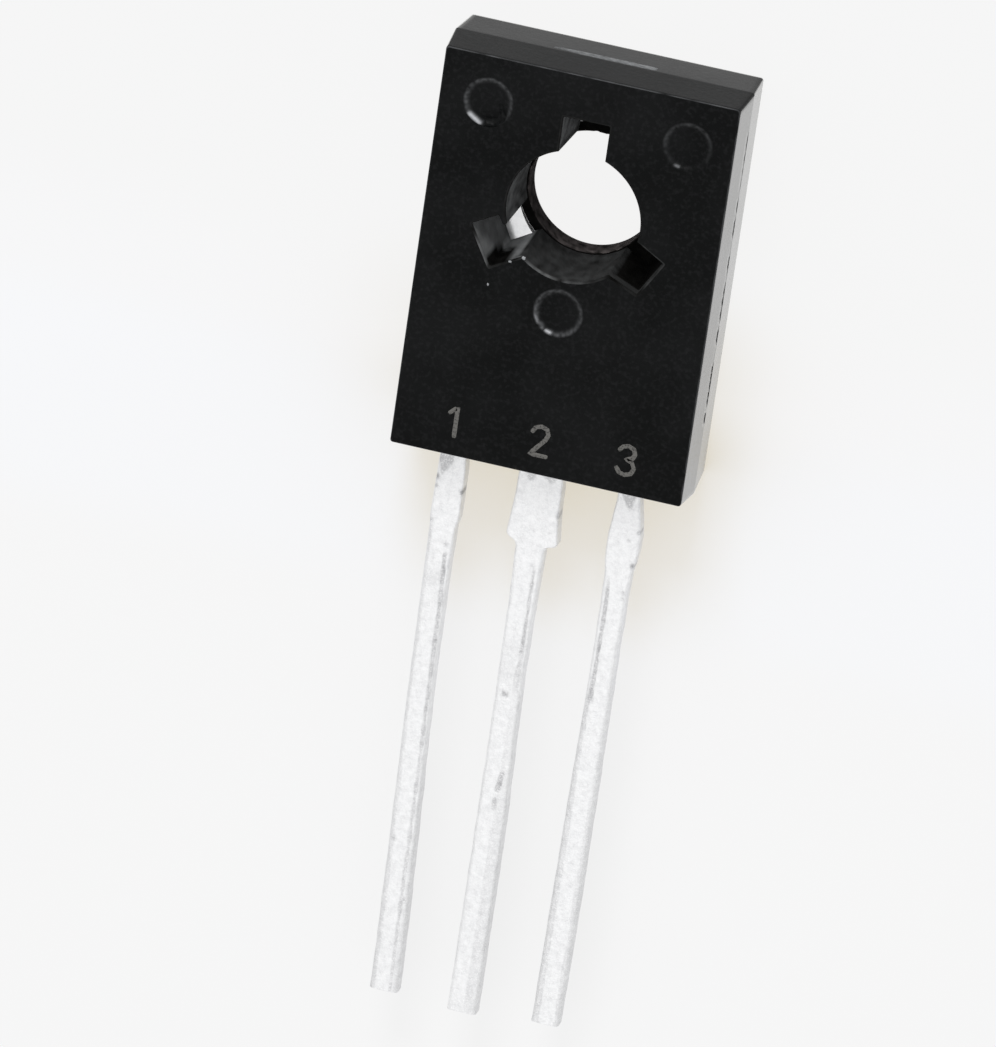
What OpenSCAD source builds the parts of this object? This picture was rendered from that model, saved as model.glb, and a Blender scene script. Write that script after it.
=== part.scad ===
// Flat power transistor with a screw hole and three leads in line.
//
// The body is moulded round a stamped lead frame. Its back is the mounting
// face, which lies on z = 0. The origin is the axis of the screw hole at that
// face, +Z points out of the front face and the leads run along -Y.
// All sizes are in millimetres.

/* [Moulded body] */
// Width across the parting plane
body_width = 7.7; // [7.5:0.05:7.8]
// Height across the parting plane
body_height = 10.85; // [10.6:0.05:11.0]
// Thickness from mounting face to front face
body_thickness = 2.5; // [2.4:0.05:2.7]
// Height of the parting plane above the mounting face
parting_height = 1.35; // [1.3:0.05:1.45]
// Draft of the front half, measured at the front face
front_inset = 0.06; // [0.02:0.01:0.1]
// Draft of the back half, measured at the mounting face
back_inset = 0.08; // [0.04:0.01:0.12]
// Step where the two halves of the mould don't quite meet
mould_step = 0.02; // [0.01:0.01:0.04]

/* [Screw hole] */
// Distance from the top edge to the hole axis
hole_from_top = 3.8; // [3.7:0.05:3.9]
// Radius of the bore between the mounting face and the pad's front
bore_radius = 1.6; // [1.5:0.05:1.65]
// Extra radius of the bore just in front of the pad
bore_ledge = 0.06; // [0.03:0.01:0.08]
// Radius of the bore at the front face
bore_front_radius = 1.72; // [1.72:0.01:1.8]
// Break of the bore's front edge
bore_edge_break = 0.05; // [0.03:0.01:0.08]

/* [Notches round the hole] */
// Distance from the hole axis to a notch's end at the front face
notch_reach = 2.55; // [2.5:0.05:2.7]
// Width of a notch at the front face
notch_width = 1.2; // [1.1:0.05:1.3]
// Draft of a notch's end over its depth
notch_end_draft = 0.15; // [0.1:0.05:0.2]
// Draft of each side of a notch over its depth
notch_side_draft = 0.07; // [0.03:0.01:0.1]
// Thickness of the resin film that flowed over the pad in the lower right notch
film_thickness = 0.03; // [0.02:0.01:0.05]

/* [Ejector-pin marks] */
// Diameter of a mark at the front face
mark_diameter = 1.27; // [1.2:0.01:1.3]
// Width of the sloping ring round a mark
mark_ring = 0.1; // [0.08:0.01:0.2]
// Depth of a mark
mark_depth = 0.07; // [0.04:0.01:0.12]
// Distance of the two upper marks from the middle
mark_side = 2.6; // [2.55:0.05:2.7]
// Height of the two upper marks above the hole axis
mark_up = 2.5; // [2.4:0.05:2.6]
// Distance of the lower mark below the hole axis
mark_down = 2.64; // [2.6:0.02:2.8]
// Tilt of the worn pin that left the upper left mark
worn_pin_tilt = 5; // [3:1:6]
// Distance by which the worn pin sits nearer the middle
worn_pin_shift = 0.08; // [0:0.02:0.1]

/* [Broken-off gate] */
// Width of the gate scar on the top face
gate_width = 2.65; // [2.4:0.05:2.8]
// Thickness of the gate scar
gate_thickness = 0.2; // [0.15:0.05:0.25]
// Height of the gate scar above the mounting face
gate_height = 1.2; // [1.1:0.05:1.2]
// Distance of the gate scar's middle to the left of the body's
gate_shift = 0.06; // [0:0.02:0.1]
// How far the gate scar stands out of the parting line's outline
gate_proud = 0.03; // [0.02:0.01:0.05]

/* [Heat-spreader pad] */
// Thickness of the pad
pad_thickness = 0.6; // [0.55:0.05:0.65]
// Width of the pad at its front
pad_width = 6.2; // [6.0:0.1:6.4]
// Top edge of the pad above the hole axis
pad_top = 2.95; // [2.9:0.05:3.0]
// Bottom edge of the pad below the hole axis
pad_bottom = 5.25; // [5.2:0.05:5.3]
// Corner radius of the pad
pad_corner = 0.6; // [0.5:0.1:0.8]
// Width of the coined step that locks the pad into the moulding
pad_lock_width = 0.25; // [0.15:0.05:0.3]
// Height of that step above the mounting face
pad_lock_height = 0.3; // [0.25:0.05:0.35]
// Thickness of the moulded lining in the pad's hole
lining = 0.25; // [0.15:0.05:0.3]

/* [Leads] */
// Distance between neighbouring leads
lead_pitch = 2.25; // [2.2:0.05:2.3]
// Thickness of a lead
lead_thickness = 0.5; // [0.45:0.05:0.55]
// Width of the long thin part of the centre lead
collector_width = 0.68; // [0.6:0.02:0.76]
// Sideways offset of the left lead's thin part from its axis, away from the middle
emitter_offset = 0.05; // [0:0.01:0.06]
// Sideways offset of the right lead's thin part from its axis, away from the middle
base_offset = 0.02; // [0:0.01:0.04]
// Width of the long thin part of the two outer leads
outer_lead_width = 0.62; // [0.56:0.02:0.7]
// Length of the left lead below the body
emitter_length = 15.15; // [12:0.05:16]
// Length of the centre lead below the body
collector_length = 15.25; // [12:0.05:16]
// Length of the right lead below the body
base_length = 15.05; // [12:0.05:16]
// Sideways bend of the left lead's tip towards the middle
emitter_lean = 0.17; // [0:0.01:0.4]
// Sideways bend of the centre lead's tip to the left
collector_lean = 0.06; // [0:0.01:0.4]
// Sideways bend of the right lead's tip towards the middle
base_lean = 0.13; // [0:0.01:0.4]

/* [Lead shoulders] */
// Width of the centre lead's shoulder where it leaves the body
collector_neck = 1.14; // [1.0:0.02:1.2]
// Width of the centre lead's shoulder at its lower end
collector_shoulder = 1.3; // [1.2:0.02:1.36]
// Length of the shoulders below the body
shoulder_length = 2.2; // [2.0:0.1:2.5]
// Bevel where a shoulder is cut back to the thin part
shoulder_bevel = 0.15; // [0.05:0.05:0.3]
// Reach of the left lead's shoulder on its outer side
emitter_shoulder_out = 0.39; // [0.36:0.01:0.45]
// Reach of the left lead's shoulder on its inner side
emitter_shoulder_in = 0.37; // [0.36:0.01:0.45]
// Reach of the right lead's shoulder on its inner side
base_shoulder_in = 0.37; // [0.36:0.01:0.45]
// Reach of the right lead's shoulder on its outer side
base_shoulder_out = 0.49; // [0.4:0.01:0.55]
// Half width of the right lead's neck at the body
base_neck = 0.31; // [0.25:0.01:0.35]
// Length over which the right lead's neck widens
base_flare = 0.9; // [0.7:0.1:1.1]

/* [Inside the body] */
// Width of a bond post
post_width = 1.4; // [1.2:0.1:1.5]
// Length of a bond post
post_length = 1.1; // [1.0:0.1:1.2]
// Depth of resin between a bond post and the body's bottom edge
post_cover = 0.5; // [0.4:0.05:0.6]
// Run of the sloping web between pad and centre lead
web_run = 0.75; // [0.7:0.05:0.9]
// Side of the square chip
chip_side = 2.0; // [1.6:0.1:2.2]
// Thickness of the chip
chip_thickness = 0.25; // [0.2:0.05:0.3]
// Thickness of the solder under the chip
solder_thickness = 0.05; // [0.03:0.01:0.08]
// Width of the solder fillet round the chip
solder_margin = 0.08; // [0.04:0.02:0.12]
// Distance of the chip's centre below the hole axis
chip_down = 3.4; // [3.35:0.05:3.45]
// Diameter of a bond wire
wire_diameter = 0.2; // [0.15:0.01:0.25]
// Radius of the bends in a bond wire
wire_bend = 0.2; // [0.18:0.01:0.25]
// Diameter of a wire's pressed foot
foot_diameter = 0.36; // [0.3:0.02:0.4]
// Thickness of a wire's pressed foot
foot_thickness = 0.06; // [0.04:0.01:0.1]
// Distance of each wire's foot from the chip's middle
foot_side = 0.55; // [0.45:0.05:0.6]

/* [Hidden] */
// Fineness of the round forms
$fn = 96;
// Overlap that keeps cutters clear of the faces they pass through
over = 1;
// Edges of the body, from the hole axis
body_top = hole_from_top;
body_bottom = hole_from_top - body_height;
// Heights of the leads' two faces, centred on the parting plane
lead_low = parting_height - lead_thickness / 2;
lead_high = parting_height + lead_thickness / 2;
// Radius of the hole in the pad, which the moulded lining fills to the bore
pad_hole_radius = bore_radius + lining;
// Height of the chip's front face
solder_high = pad_thickness + solder_thickness;
chip_high = solder_high + chip_thickness;
// Height of a bond wire's level run, midway between lead and front face
wire_level = (lead_high + body_thickness) / 2 - 0.03;
// Middle of the bond posts
post_y = body_bottom + post_cover + post_length / 2;
// Slope of the web, and the shift that keeps it as thick as the lead
web_slope = (lead_low - pad_lock_height) / web_run;
web_shift = lead_thickness * tan(atan(web_slope) / 2);
// Number and angles of the notches
notch_count = 3;
notch_angles = [for (i = [0 : notch_count - 1]) 90 + i * 360 / notch_count];
// Resin left on the pad in each notch
notch_films = [0, 0, film_thickness];
// Places of the three ejector-pin marks, the worn pin's first
mark_places = [[worn_pin_shift - mark_side, mark_up], [mark_side, mark_up], [0, -mark_down]];

// ---------------------------------------------------------------- body forms

// Side view of the two drafted halves, from one outer edge to the other.
module drafted_profile(low, high) {
    polygon([
        [low + back_inset, 0],
        [high - back_inset, 0],
        [high, parting_height],
        [high - mould_step, parting_height],
        [high - mould_step - front_inset, body_thickness],
        [low + mould_step + front_inset, body_thickness],
        [low + mould_step, parting_height],
        [low, parting_height]
    ]);
}

// The plain moulded block, drafted both ways from the parting plane.
module moulded_block() {
    intersection() {
        // seen along Y
        translate([0, body_top + over, 0])
            rotate([90, 0, 0])
                linear_extrude(body_height + 2 * over)
                    drafted_profile(-body_width / 2, body_width / 2);
        // seen along X
        translate([-body_width / 2 - over, 0, 0])
            rotate([90, 0, 90])
                linear_extrude(body_width + 2 * over)
                    drafted_profile(body_bottom, body_top);
    }
}

// How far a drafted wall of a notch has leaned in at height z.
function leaned(draft, z) = draft * (body_thickness - z) / (body_thickness - pad_thickness);

// One notch cutter above its floor: the end and both sides lean in towards the pad.
module notch_cutter(low) {
    high = body_thickness + over;
    half_low = notch_width / 2 - leaned(notch_side_draft, low);
    half_high = notch_width / 2 - leaned(notch_side_draft, high);
    intersection() {
        // seen along the radius
        rotate([90, 0, 90])
            linear_extrude(notch_reach + over)
                polygon([
                    [-half_low, low],
                    [half_low, low],
                    [half_high, high],
                    [-half_high, high]
                ]);
        // seen from the side
        translate([0, notch_width, 0])
            rotate([90, 0, 0])
                linear_extrude(2 * notch_width)
                    polygon([
                        [0, low],
                        [notch_reach - leaned(notch_end_draft, low), low],
                        [notch_reach - leaned(notch_end_draft, high), high],
                        [0, high]
                    ]);
    }
}

// The screw hole: a true bore behind, a drafted bore in front, and notches.
module screw_hole_cutter() {
    depth = body_thickness - pad_thickness;
    ledge_radius = bore_radius + bore_ledge;
    flare = (bore_front_radius - ledge_radius) * over / depth;
    // true bore through the lining of the pad
    translate([0, 0, -over])
        cylinder(r = bore_radius, h = pad_thickness + 2 * over);
    // drafted bore in front of the pad
    translate([0, 0, pad_thickness])
        cylinder(r1 = ledge_radius, r2 = bore_front_radius + flare, h = depth + over);
    // broken front edge
    translate([0, 0, body_thickness - bore_edge_break])
        cylinder(r1 = bore_front_radius, r2 = bore_front_radius + bore_edge_break + over,
                 h = bore_edge_break + over);
    for (i = [0 : notch_count - 1])
        rotate([0, 0, notch_angles[i]])
            notch_cutter(pad_thickness + notch_films[i]);
}

// One ejector-pin mark: a flat floor inside a sloping ring.
module ejector_mark(tilt) {
    clear = 0.2;
    slope = mark_ring / mark_depth;
    rotate([tilt, tilt / 2, 0])
        translate([0, 0, -mark_depth])
            cylinder(d1 = mark_diameter - 2 * mark_ring, d2 = mark_diameter + 2 * slope * clear,
                     h = mark_depth + clear);
}

// The scar left on the top face where the gate was broken off.
module gate_scar() {
    translate([-gate_shift - gate_width / 2, body_top - back_inset - gate_proud,
               gate_height - gate_thickness / 2])
        cube([gate_width, back_inset + 2 * gate_proud, gate_thickness]);
}

module moulded_body() {
    color([0.13, 0.13, 0.13])
        difference() {
            union() {
                moulded_block();
                gate_scar();
            }
            screw_hole_cutter();
            for (i = [0 : len(mark_places) - 1])
                translate([mark_places[i][0], mark_places[i][1], body_thickness])
                    ejector_mark(i == 0 ? worn_pin_tilt : 0);
            // the cavity is what the resin flowed round
            collector_frame();
            emitter_lead();
            base_lead();
            chip_solder();
            chip();
            emitter_wire();
            base_wire();
        }
}

// --------------------------------------------------------------- lead frame

// A rectangle with rounded corners, from its lower left to its upper right corner.
module rounded_rectangle(x0, y0, x1, y1, r) {
    translate([x0 + r, y0])
        square([x1 - x0 - 2 * r, y1 - y0]);
    translate([x0, y0 + r])
        square([x1 - x0, y1 - y0 - 2 * r]);
    for (x = [x0 + r, x1 - r])
        for (y = [y0 + r, y1 - r])
            translate([x, y])
                circle(r = r);
}

// The heat-spreader pad with its coined locking step.
module pad() {
    step = pad_lock_width;
    difference() {
        union() {
            linear_extrude(pad_thickness)
                rounded_rectangle(-pad_width / 2 + step, -pad_bottom + step, pad_width / 2 - step,
                                  pad_top - step, pad_corner - step);
            translate([0, 0, pad_lock_height])
                linear_extrude(pad_thickness - pad_lock_height)
                    rounded_rectangle(-pad_width / 2, -pad_bottom, pad_width / 2, pad_top, pad_corner);
        }
        translate([0, 0, -over])
            cylinder(r = pad_hole_radius, h = pad_thickness + 2 * over);
    }
}

// The sloping web that lifts the centre lead from the pad to the parting plane.
module collector_web() {
    start = -pad_bottom;
    finish = start - web_run;
    rise = finish + web_shift + (lead_high - pad_thickness) / web_slope;
    translate([-collector_neck / 2, 0, 0])
        rotate([90, 0, 90])
            linear_extrude(collector_neck)
                polygon([
                    [rise + pad_corner, pad_thickness],
                    [rise + pad_corner, pad_lock_height],
                    [start, pad_lock_height],
                    [finish, lead_low],
                    [body_bottom, lead_low],
                    [body_bottom, lead_high],
                    [finish + web_shift, lead_high],
                    [rise, pad_thickness]
                ]);
}

// Outline of the centre lead below the body.
module collector_outline() {
    w = collector_width / 2;
    n = collector_neck / 2;
    s = collector_shoulder / 2;
    tip = body_bottom - collector_length;
    knee = body_bottom - shoulder_length;
    polygon([
        [-n, body_bottom],
        [n, body_bottom],
        [s, knee + shoulder_bevel / 2],
        [s - shoulder_bevel / 2, knee],
        [w, knee - shoulder_bevel / 2],
        [w - collector_lean, tip],
        [-w - collector_lean, tip],
        [-w, knee - shoulder_bevel / 2],
        [-s + shoulder_bevel, knee],
        [-s, knee + shoulder_bevel]
    ]);
}

module collector_frame() {
    color([0.8, 0.8, 0.79]) {
        pad();
        collector_web();
        translate([0, 0, lead_low])
            linear_extrude(lead_thickness)
                collector_outline();
    }
}

// Outline of the left lead, from inside its bond post to its tip, about its own axis.
module emitter_outline() {
    left = -outer_lead_width / 2 - emitter_offset;
    right = outer_lead_width / 2 - emitter_offset;
    tip = body_bottom - emitter_length;
    knee = body_bottom - shoulder_length;
    polygon([
        [-emitter_shoulder_out, post_y],
        [emitter_shoulder_in, post_y],
        [emitter_shoulder_in, knee + shoulder_bevel],
        [right, knee - shoulder_bevel / 2],
        [right + emitter_lean, tip],
        [left + emitter_lean, tip],
        [left, knee - shoulder_bevel / 2],
        [-emitter_shoulder_out, knee + shoulder_bevel]
    ]);
}

// Outline of the right lead, from inside its bond post to its tip, about its own axis.
module base_outline() {
    left = -outer_lead_width / 2 + base_offset;
    right = outer_lead_width / 2 + base_offset;
    tip = body_bottom - base_length;
    knee = body_bottom - shoulder_length;
    neck = body_bottom - base_flare / 4;
    flared = body_bottom - base_flare;
    polygon([
        [-base_neck, post_y],
        [base_neck, post_y],
        [base_neck, neck],
        [base_shoulder_out, flared],
        [base_shoulder_out, knee + 2 * shoulder_bevel],
        [right, knee - 2 * shoulder_bevel],
        [right - base_lean, tip],
        [left - base_lean, tip],
        [left, knee - 2 * shoulder_bevel],
        [-base_shoulder_in, knee + 2 * shoulder_bevel],
        [-base_shoulder_in, flared],
        [-base_neck, neck]
    ]);
}

// Bond post at the inner end of an outer lead.
module bond_post() {
    translate([-post_width / 2, body_bottom + post_cover, 0])
        cube([post_width, post_length, lead_thickness]);
}

module emitter_lead() {
    color([0.8, 0.8, 0.79])
        translate([-lead_pitch, 0, lead_low]) {
            linear_extrude(lead_thickness)
                emitter_outline();
            bond_post();
        }
}

module base_lead() {
    color([0.8, 0.8, 0.79])
        translate([lead_pitch, 0, lead_low]) {
            linear_extrude(lead_thickness)
                base_outline();
            bond_post();
        }
}

// ------------------------------------------------------------ chip and wires

module chip_solder() {
    side = chip_side + 2 * solder_margin;
    color([0.62, 0.62, 0.6])
        translate([-side / 2, -chip_down - side / 2, pad_thickness])
            cube([side, side, solder_thickness]);
}

module chip() {
    color([0.28, 0.29, 0.33])
        translate([-chip_side / 2, -chip_down - chip_side / 2, solder_high])
            cube([chip_side, chip_side, chip_thickness]);
}

// A wire that rises from z_from, runs level by length and comes down to z_to.
module bond_wire(length, z_from, z_to) {
    r = wire_diameter / 2;
    rise = wire_level - wire_bend;
    for (end = [[0, z_from], [length, z_to]])
        translate([end[0], 0, end[1]]) {
            cylinder(d = foot_diameter, h = foot_thickness);
            cylinder(r = r, h = rise - end[1]);
        }
    translate([wire_bend, 0, wire_level])
        rotate([0, 90, 0])
            cylinder(r = r, h = length - 2 * wire_bend);
    // the two bends
    translate([wire_bend, 0, rise])
        rotate([90, 0, 0])
            rotate([0, 0, 90])
                rotate_extrude(angle = 90)
                    translate([wire_bend, 0])
                        circle(r = r);
    translate([length - wire_bend, 0, rise])
        rotate([90, 0, 0])
            rotate_extrude(angle = 90)
                translate([wire_bend, 0])
                    circle(r = r);
}

// A wire from the chip to a bond post: side is -1 for the left and 1 for the right.
module chip_to_post(side) {
    dx = lead_pitch - foot_side;
    dy = post_y + chip_down;
    length = sqrt(dx * dx + dy * dy);
    translate([side * foot_side, -chip_down, 0])
        rotate([0, 0, atan2(dy, side * dx)])
            bond_wire(length, chip_high, lead_high);
}

module emitter_wire() {
    color([0.82, 0.82, 0.84])
        chip_to_post(-1);
}

module base_wire() {
    color([0.82, 0.82, 0.84])
        chip_to_post(1);
}

// ------------------------------------------------------------------ assembly

moulded_body();
collector_frame();
emitter_lead();
base_lead();
chip();
chip_solder();
emitter_wire();
base_wire();
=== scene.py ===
# %% [markdown]
# # A flat power transistor
# The part is a block of black moulding resin with a screw hole, and three tin-plated leads.
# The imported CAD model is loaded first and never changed, so all that is made here is placed
# by it. Its box is kept, because the finished part has to stay the same size.

# %% The fixed frame
import math
import bpy
import bmesh
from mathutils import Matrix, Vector, noise
from mathutils.geometry import delaunay_2d_cdt


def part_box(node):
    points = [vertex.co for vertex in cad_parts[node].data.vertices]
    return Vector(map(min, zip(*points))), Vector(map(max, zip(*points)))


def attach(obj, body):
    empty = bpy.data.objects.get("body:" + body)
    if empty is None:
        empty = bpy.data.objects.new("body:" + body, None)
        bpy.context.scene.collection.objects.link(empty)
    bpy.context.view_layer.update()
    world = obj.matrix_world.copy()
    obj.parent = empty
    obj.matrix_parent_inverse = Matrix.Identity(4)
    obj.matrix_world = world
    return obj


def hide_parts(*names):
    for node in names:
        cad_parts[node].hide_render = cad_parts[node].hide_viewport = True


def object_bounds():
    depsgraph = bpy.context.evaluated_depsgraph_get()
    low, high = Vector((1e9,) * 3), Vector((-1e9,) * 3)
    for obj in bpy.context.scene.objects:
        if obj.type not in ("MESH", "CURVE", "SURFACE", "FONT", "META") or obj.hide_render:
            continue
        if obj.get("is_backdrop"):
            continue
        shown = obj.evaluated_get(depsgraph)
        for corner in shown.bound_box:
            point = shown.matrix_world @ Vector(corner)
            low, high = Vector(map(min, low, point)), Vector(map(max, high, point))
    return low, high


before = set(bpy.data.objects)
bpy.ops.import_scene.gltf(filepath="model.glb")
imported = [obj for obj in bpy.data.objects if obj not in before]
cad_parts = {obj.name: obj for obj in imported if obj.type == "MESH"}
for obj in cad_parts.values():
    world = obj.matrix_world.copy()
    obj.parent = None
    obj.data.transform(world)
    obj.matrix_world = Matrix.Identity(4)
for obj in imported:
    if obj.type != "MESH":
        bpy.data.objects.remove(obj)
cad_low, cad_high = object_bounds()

print("CAD nodes:", sorted(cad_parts))

# %% [markdown]
# ## The sizes
# A maker writes the drawing's sizes down once, by name, and uses the names afterwards.
# What the CAD boxes hold is read from them, so the finished part follows a changed drawing.
# The rest is typed in. All is in millimetres and turns into metres only where a mesh is
# made. z is 0 at the mounting face, and the leads run along -y.

# %% Sizes of the body, the hole and the lead frame
MM = 0.001


def box(node):
    """The lowest and the highest corner of a CAD node, in millimetres."""
    return [[round(v / MM, 3) for v in corner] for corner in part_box(node)]


(_, BODY_BOTTOM, _), (HALF_WIDTH, GATE_END, BODY_THICKNESS) = box("moulded_body")
GATE_STUB = 0.03
BODY_TOP = GATE_END - GATE_STUB
PAD_HALF, PAD_TOP = box("collector_frame")[1][:2]
(_, _, LEAD_LOW), (_, _, LEAD_HIGH) = box("emitter_lead")
PARTING, MOULD_STEP = 1.35, 0.02
FRONT_INSET, BACK_INSET = 0.06, 0.08
BORE_RADIUS, LEDGE_RADIUS, FRONT_RADIUS = 1.6, 1.66, 1.72
NOTCH_ANGLES = (90, 210, 330)
NOTCH_REACH, NOTCH_HALF = (2.4, 2.55), (0.53, 0.6)
PAD_THICKNESS, LOCK_HEIGHT, LOCK_WIDTH = 0.6, 0.3, 0.25
PAD_BOTTOM, PAD_CORNER, PAD_HOLE = -5.25, 0.6, 1.85
print("body", 2 * HALF_WIDTH, "x", BODY_TOP - BODY_BOTTOM, "x", BODY_THICKNESS, "mm")

# %% [markdown]
# ## The camera
# The part lies on its back and the camera looks down on it from above its top edge.
# A long lens far away keeps the block's edges nearly parallel, as in a catalogue of small
# parts. The roll of the camera lets the leads hang to the lower left.

# %% Camera
def put(name, data):
    """Puts a mesh, a lamp or a camera into the scene as an object."""
    made = bpy.data.objects.new(name, data)
    bpy.context.scene.collection.objects.link(made)
    return made


lens = bpy.data.cameras.new("bench_camera")
lens.lens, lens.sensor_width = 481.18, 36.0
lens.clip_start, lens.clip_end = 0.01, 20.0
camera = put("bench_camera", lens)
camera.location = (0.062077, 0.127857, 0.318004)
camera.rotation_euler = [math.radians(a) for a in (-21.205, 14.403, 7.929)]
bpy.context.scene.camera = camera
bpy.context.scene.view_settings.view_transform = "Standard"
print("camera at", [round(v, 4) for v in camera.location], "with a lens of", lens.lens)

# %% [markdown]
# ## Building materials from nodes
# A material is a small network of nodes. The first helpers add a node, join an output to an
# input, and start a material. The others make the steps that come back again and again: a
# colour ramp, a rescaled value, a mix of two colours, some arithmetic and a stack of bumps.

# %% Helpers for nodes
def add(tree, kind, values=None, **settings):
    """Adds a node, sets its own settings, then the values of its inputs by name or number."""
    node = tree.nodes.new(kind)
    for key, value in settings.items():
        setattr(node, key, value)
    for key, value in (values or {}).items():
        node.inputs[key].default_value = value
    return node


def join(tree, *pairs):
    """Joins each (output, input) pair."""
    for source, target in pairs:
        tree.links.new(source, target)


def feed(tree, node, outputs):
    """Joins outputs to the inputs of a node, given by name."""
    join(tree, *((output, node.inputs[name]) for name, output in outputs.items()))


def empty_tree(owner):
    """The node tree of a material or a world, with nothing in it."""
    owner.use_nodes = True
    owner.node_tree.nodes.clear()
    return owner.node_tree


def new_material(name, values=None):
    """A material with a Principled shader; the values are the same all over the surface."""
    material = bpy.data.materials.new(name)
    tree = empty_tree(material)
    shader = add(tree, "ShaderNodeBsdfPrincipled", values)
    feed(tree, add(tree, "ShaderNodeOutputMaterial"), {"Surface": shader.outputs["BSDF"]})
    return material, tree, shader


print("materials before the first one is made:", len(bpy.data.materials))

# %% Helpers for values and colours
def place(tree, kind="Object"):
    """Where a spot lies on the object, in metres; in a sky, "Generated" is the way to it."""
    return add(tree, "ShaderNodeTexCoord").outputs[kind]


def ramp(tree, value, stops, blend="LINEAR"):
    """A colour from stops of (place, grey or colour)."""
    node = add(tree, "ShaderNodeValToRGB")
    node.color_ramp.interpolation = blend
    elements = node.color_ramp.elements
    while len(elements) < len(stops):
        elements.new(0.5)
    for element, (where, colour) in zip(elements, stops):
        element.position = where
        element.color = (*colour, 1) if isinstance(colour, tuple) else (*(colour,) * 3, 1)
    feed(tree, node, {"Fac": value})
    return node.outputs["Color"]


def spread(tree, value, low, high, start=0.0, end=1.0):
    """A value running from low to high while the given one runs from start to end."""
    node = add(tree, "ShaderNodeMapRange",
               {"From Min": start, "From Max": end, "To Min": low, "To Max": high})
    feed(tree, node, {"Value": value})
    return node.outputs[0]


def mix(tree, share, first, second):
    """The first colour turning into the second, which is an output or a plain colour."""
    node = add(tree, "ShaderNodeMix", data_type="RGBA")
    join(tree, (share, node.inputs["Factor"]), (first, node.inputs[6]))
    if isinstance(second, tuple):
        node.inputs[7].default_value = (*second, 1)
    else:
        join(tree, (second, node.inputs[7]))
    return node.outputs[2]


def combine(tree, operation, first, second):
    """One step of arithmetic between two outputs."""
    node = add(tree, "ShaderNodeMath", operation=operation)
    join(tree, (first, node.inputs[0]), (second, node.inputs[1]))
    return node.outputs[0]


def bump(tree, shader, *layers):
    """Stacks bumps of (height output, depth in millimetres) and feeds the shader's normal."""
    below = {}
    for height, depth in layers:
        node = add(tree, "ShaderNodeBump", {"Strength": 1.0, "Distance": depth * MM})
        feed(tree, node, {"Height": height, **below})
        below = {"Normal": node.outputs["Normal"]}
    feed(tree, shader, below)


print("node groups before the first one is made:", len(bpy.data.node_groups))

# %% [markdown]
# ## Two effects that several finishes share
# Resin, tin, solder and silicon all show a fine grain, only of other sizes, and all carry
# larger soft patches from handling and cooling. Both are made once as node groups.
# A size goes in, in millimetres, and a value that changes over the surface comes out.

# %% Starting a group
def new_group(name, inputs, outputs):
    """A group with its inputs and outputs; a socket is a colour where its value is a tuple."""
    tree = bpy.data.node_groups.new(name, "ShaderNodeTree")
    for way, sockets in (("INPUT", inputs), ("OUTPUT", outputs)):
        for label, value in sockets.items():
            kind = "NodeSocketColor" if isinstance(value, tuple) else "NodeSocketFloat"
            socket = tree.interface.new_socket(name=label, in_out=way, socket_type=kind)
            socket.default_value = value
    print("group", name, "takes", list(inputs), "and gives", list(outputs))
    return tree, add(tree, "NodeGroupInput").outputs, add(tree, "NodeGroupOutput")


def sized_noise(tree, size, detail, rough):
    """Noise whose spots are about `size` millimetres wide."""
    scale = add(tree, "ShaderNodeMath", {0: 1.0 / MM}, operation="DIVIDE")
    scaled = add(tree, "ShaderNodeVectorMath", operation="SCALE")
    spots = add(tree, "ShaderNodeTexNoise", {"Scale": 1.0, "Detail": detail, "Roughness": rough})
    join(tree, (size, scale.inputs[1]), (place(tree), scaled.inputs[0]),
         (scale.outputs[0], scaled.inputs["Scale"]), (scaled.outputs[0], spots.inputs["Vector"]))
    return spots.outputs["Fac"]

# %% Group: grain
def grain_group():
    """Fine grain: a height for bumps and a mask of the grains that stand out."""
    tree, given, result = new_group("fine_grain", {"Size": 0.05, "Sharpness": 0.5},
                                    {"Height": 0.0, "Mask": 0.0})
    height = sized_noise(tree, given["Size"], 3.0, 0.6)
    spots = spread(tree, height, 0.0, 1.0, 0.5, 0.75)
    mask = combine(tree, "POWER", spots, given["Sharpness"])
    feed(tree, result, {"Height": height, "Mask": mask})
    return tree


GRAIN = grain_group()


def grain(tree, size, sharpness=1.0):
    """Places the grain group in a material."""
    values = {"Size": size, "Sharpness": sharpness}
    return add(tree, "ShaderNodeGroup", values, node_tree=GRAIN).outputs

# %% [markdown]
# The second group spreads soft patches. It also lightens or darkens a colour where the mesh
# says so: each point of a mesh carries a number, which the mesh code sets along edges, in
# pits, in creases and in the hole. That number holds real wear and also painted light:
# painted highlights, painted reflections and painted shade.

# %% Group: patches, wear and painted light
def make_wear_and_painted_light_group():
    """Mixes a clean colour and a second one by soft patches and by the value the mesh keeps at
    each point, which holds real marks and painted light.
    """
    tree, given, result = new_group(
        "patches_and_wear",
        {"Clean": (0.8, 0.8, 0.8, 1), "Patch": (0.7, 0.7, 0.7, 1), "Worn_And_Painted_Colour": (0.5, 0.5, 0.5, 1),
         "Patch Size": 1.0, "Patch Amount": 0.5},
        {"Color": (0.0, 0.0, 0.0, 1), "Patches": 0.0, "Wear_And_Painted_Light": 0.0})
    wear = add(tree, "ShaderNodeAttribute", attribute_name="wear").outputs["Fac"]
    spots = sized_noise(tree, given["Patch Size"], 4.0, 0.55)
    patches = spread(tree, spots, 0.0, 1.0, 0.4, 0.65)
    share = combine(tree, "MULTIPLY", patches, given["Patch Amount"])
    soft = mix(tree, share, given["Clean"], given["Patch"])
    feed(tree, result, {"Color": mix(tree, wear, soft, given["Worn_And_Painted_Colour"]),
                        "Patches": patches, "Wear_And_Painted_Light": wear})
    return tree


WEAR_AND_PAINTED_LIGHT_GROUP = make_wear_and_painted_light_group()


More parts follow.
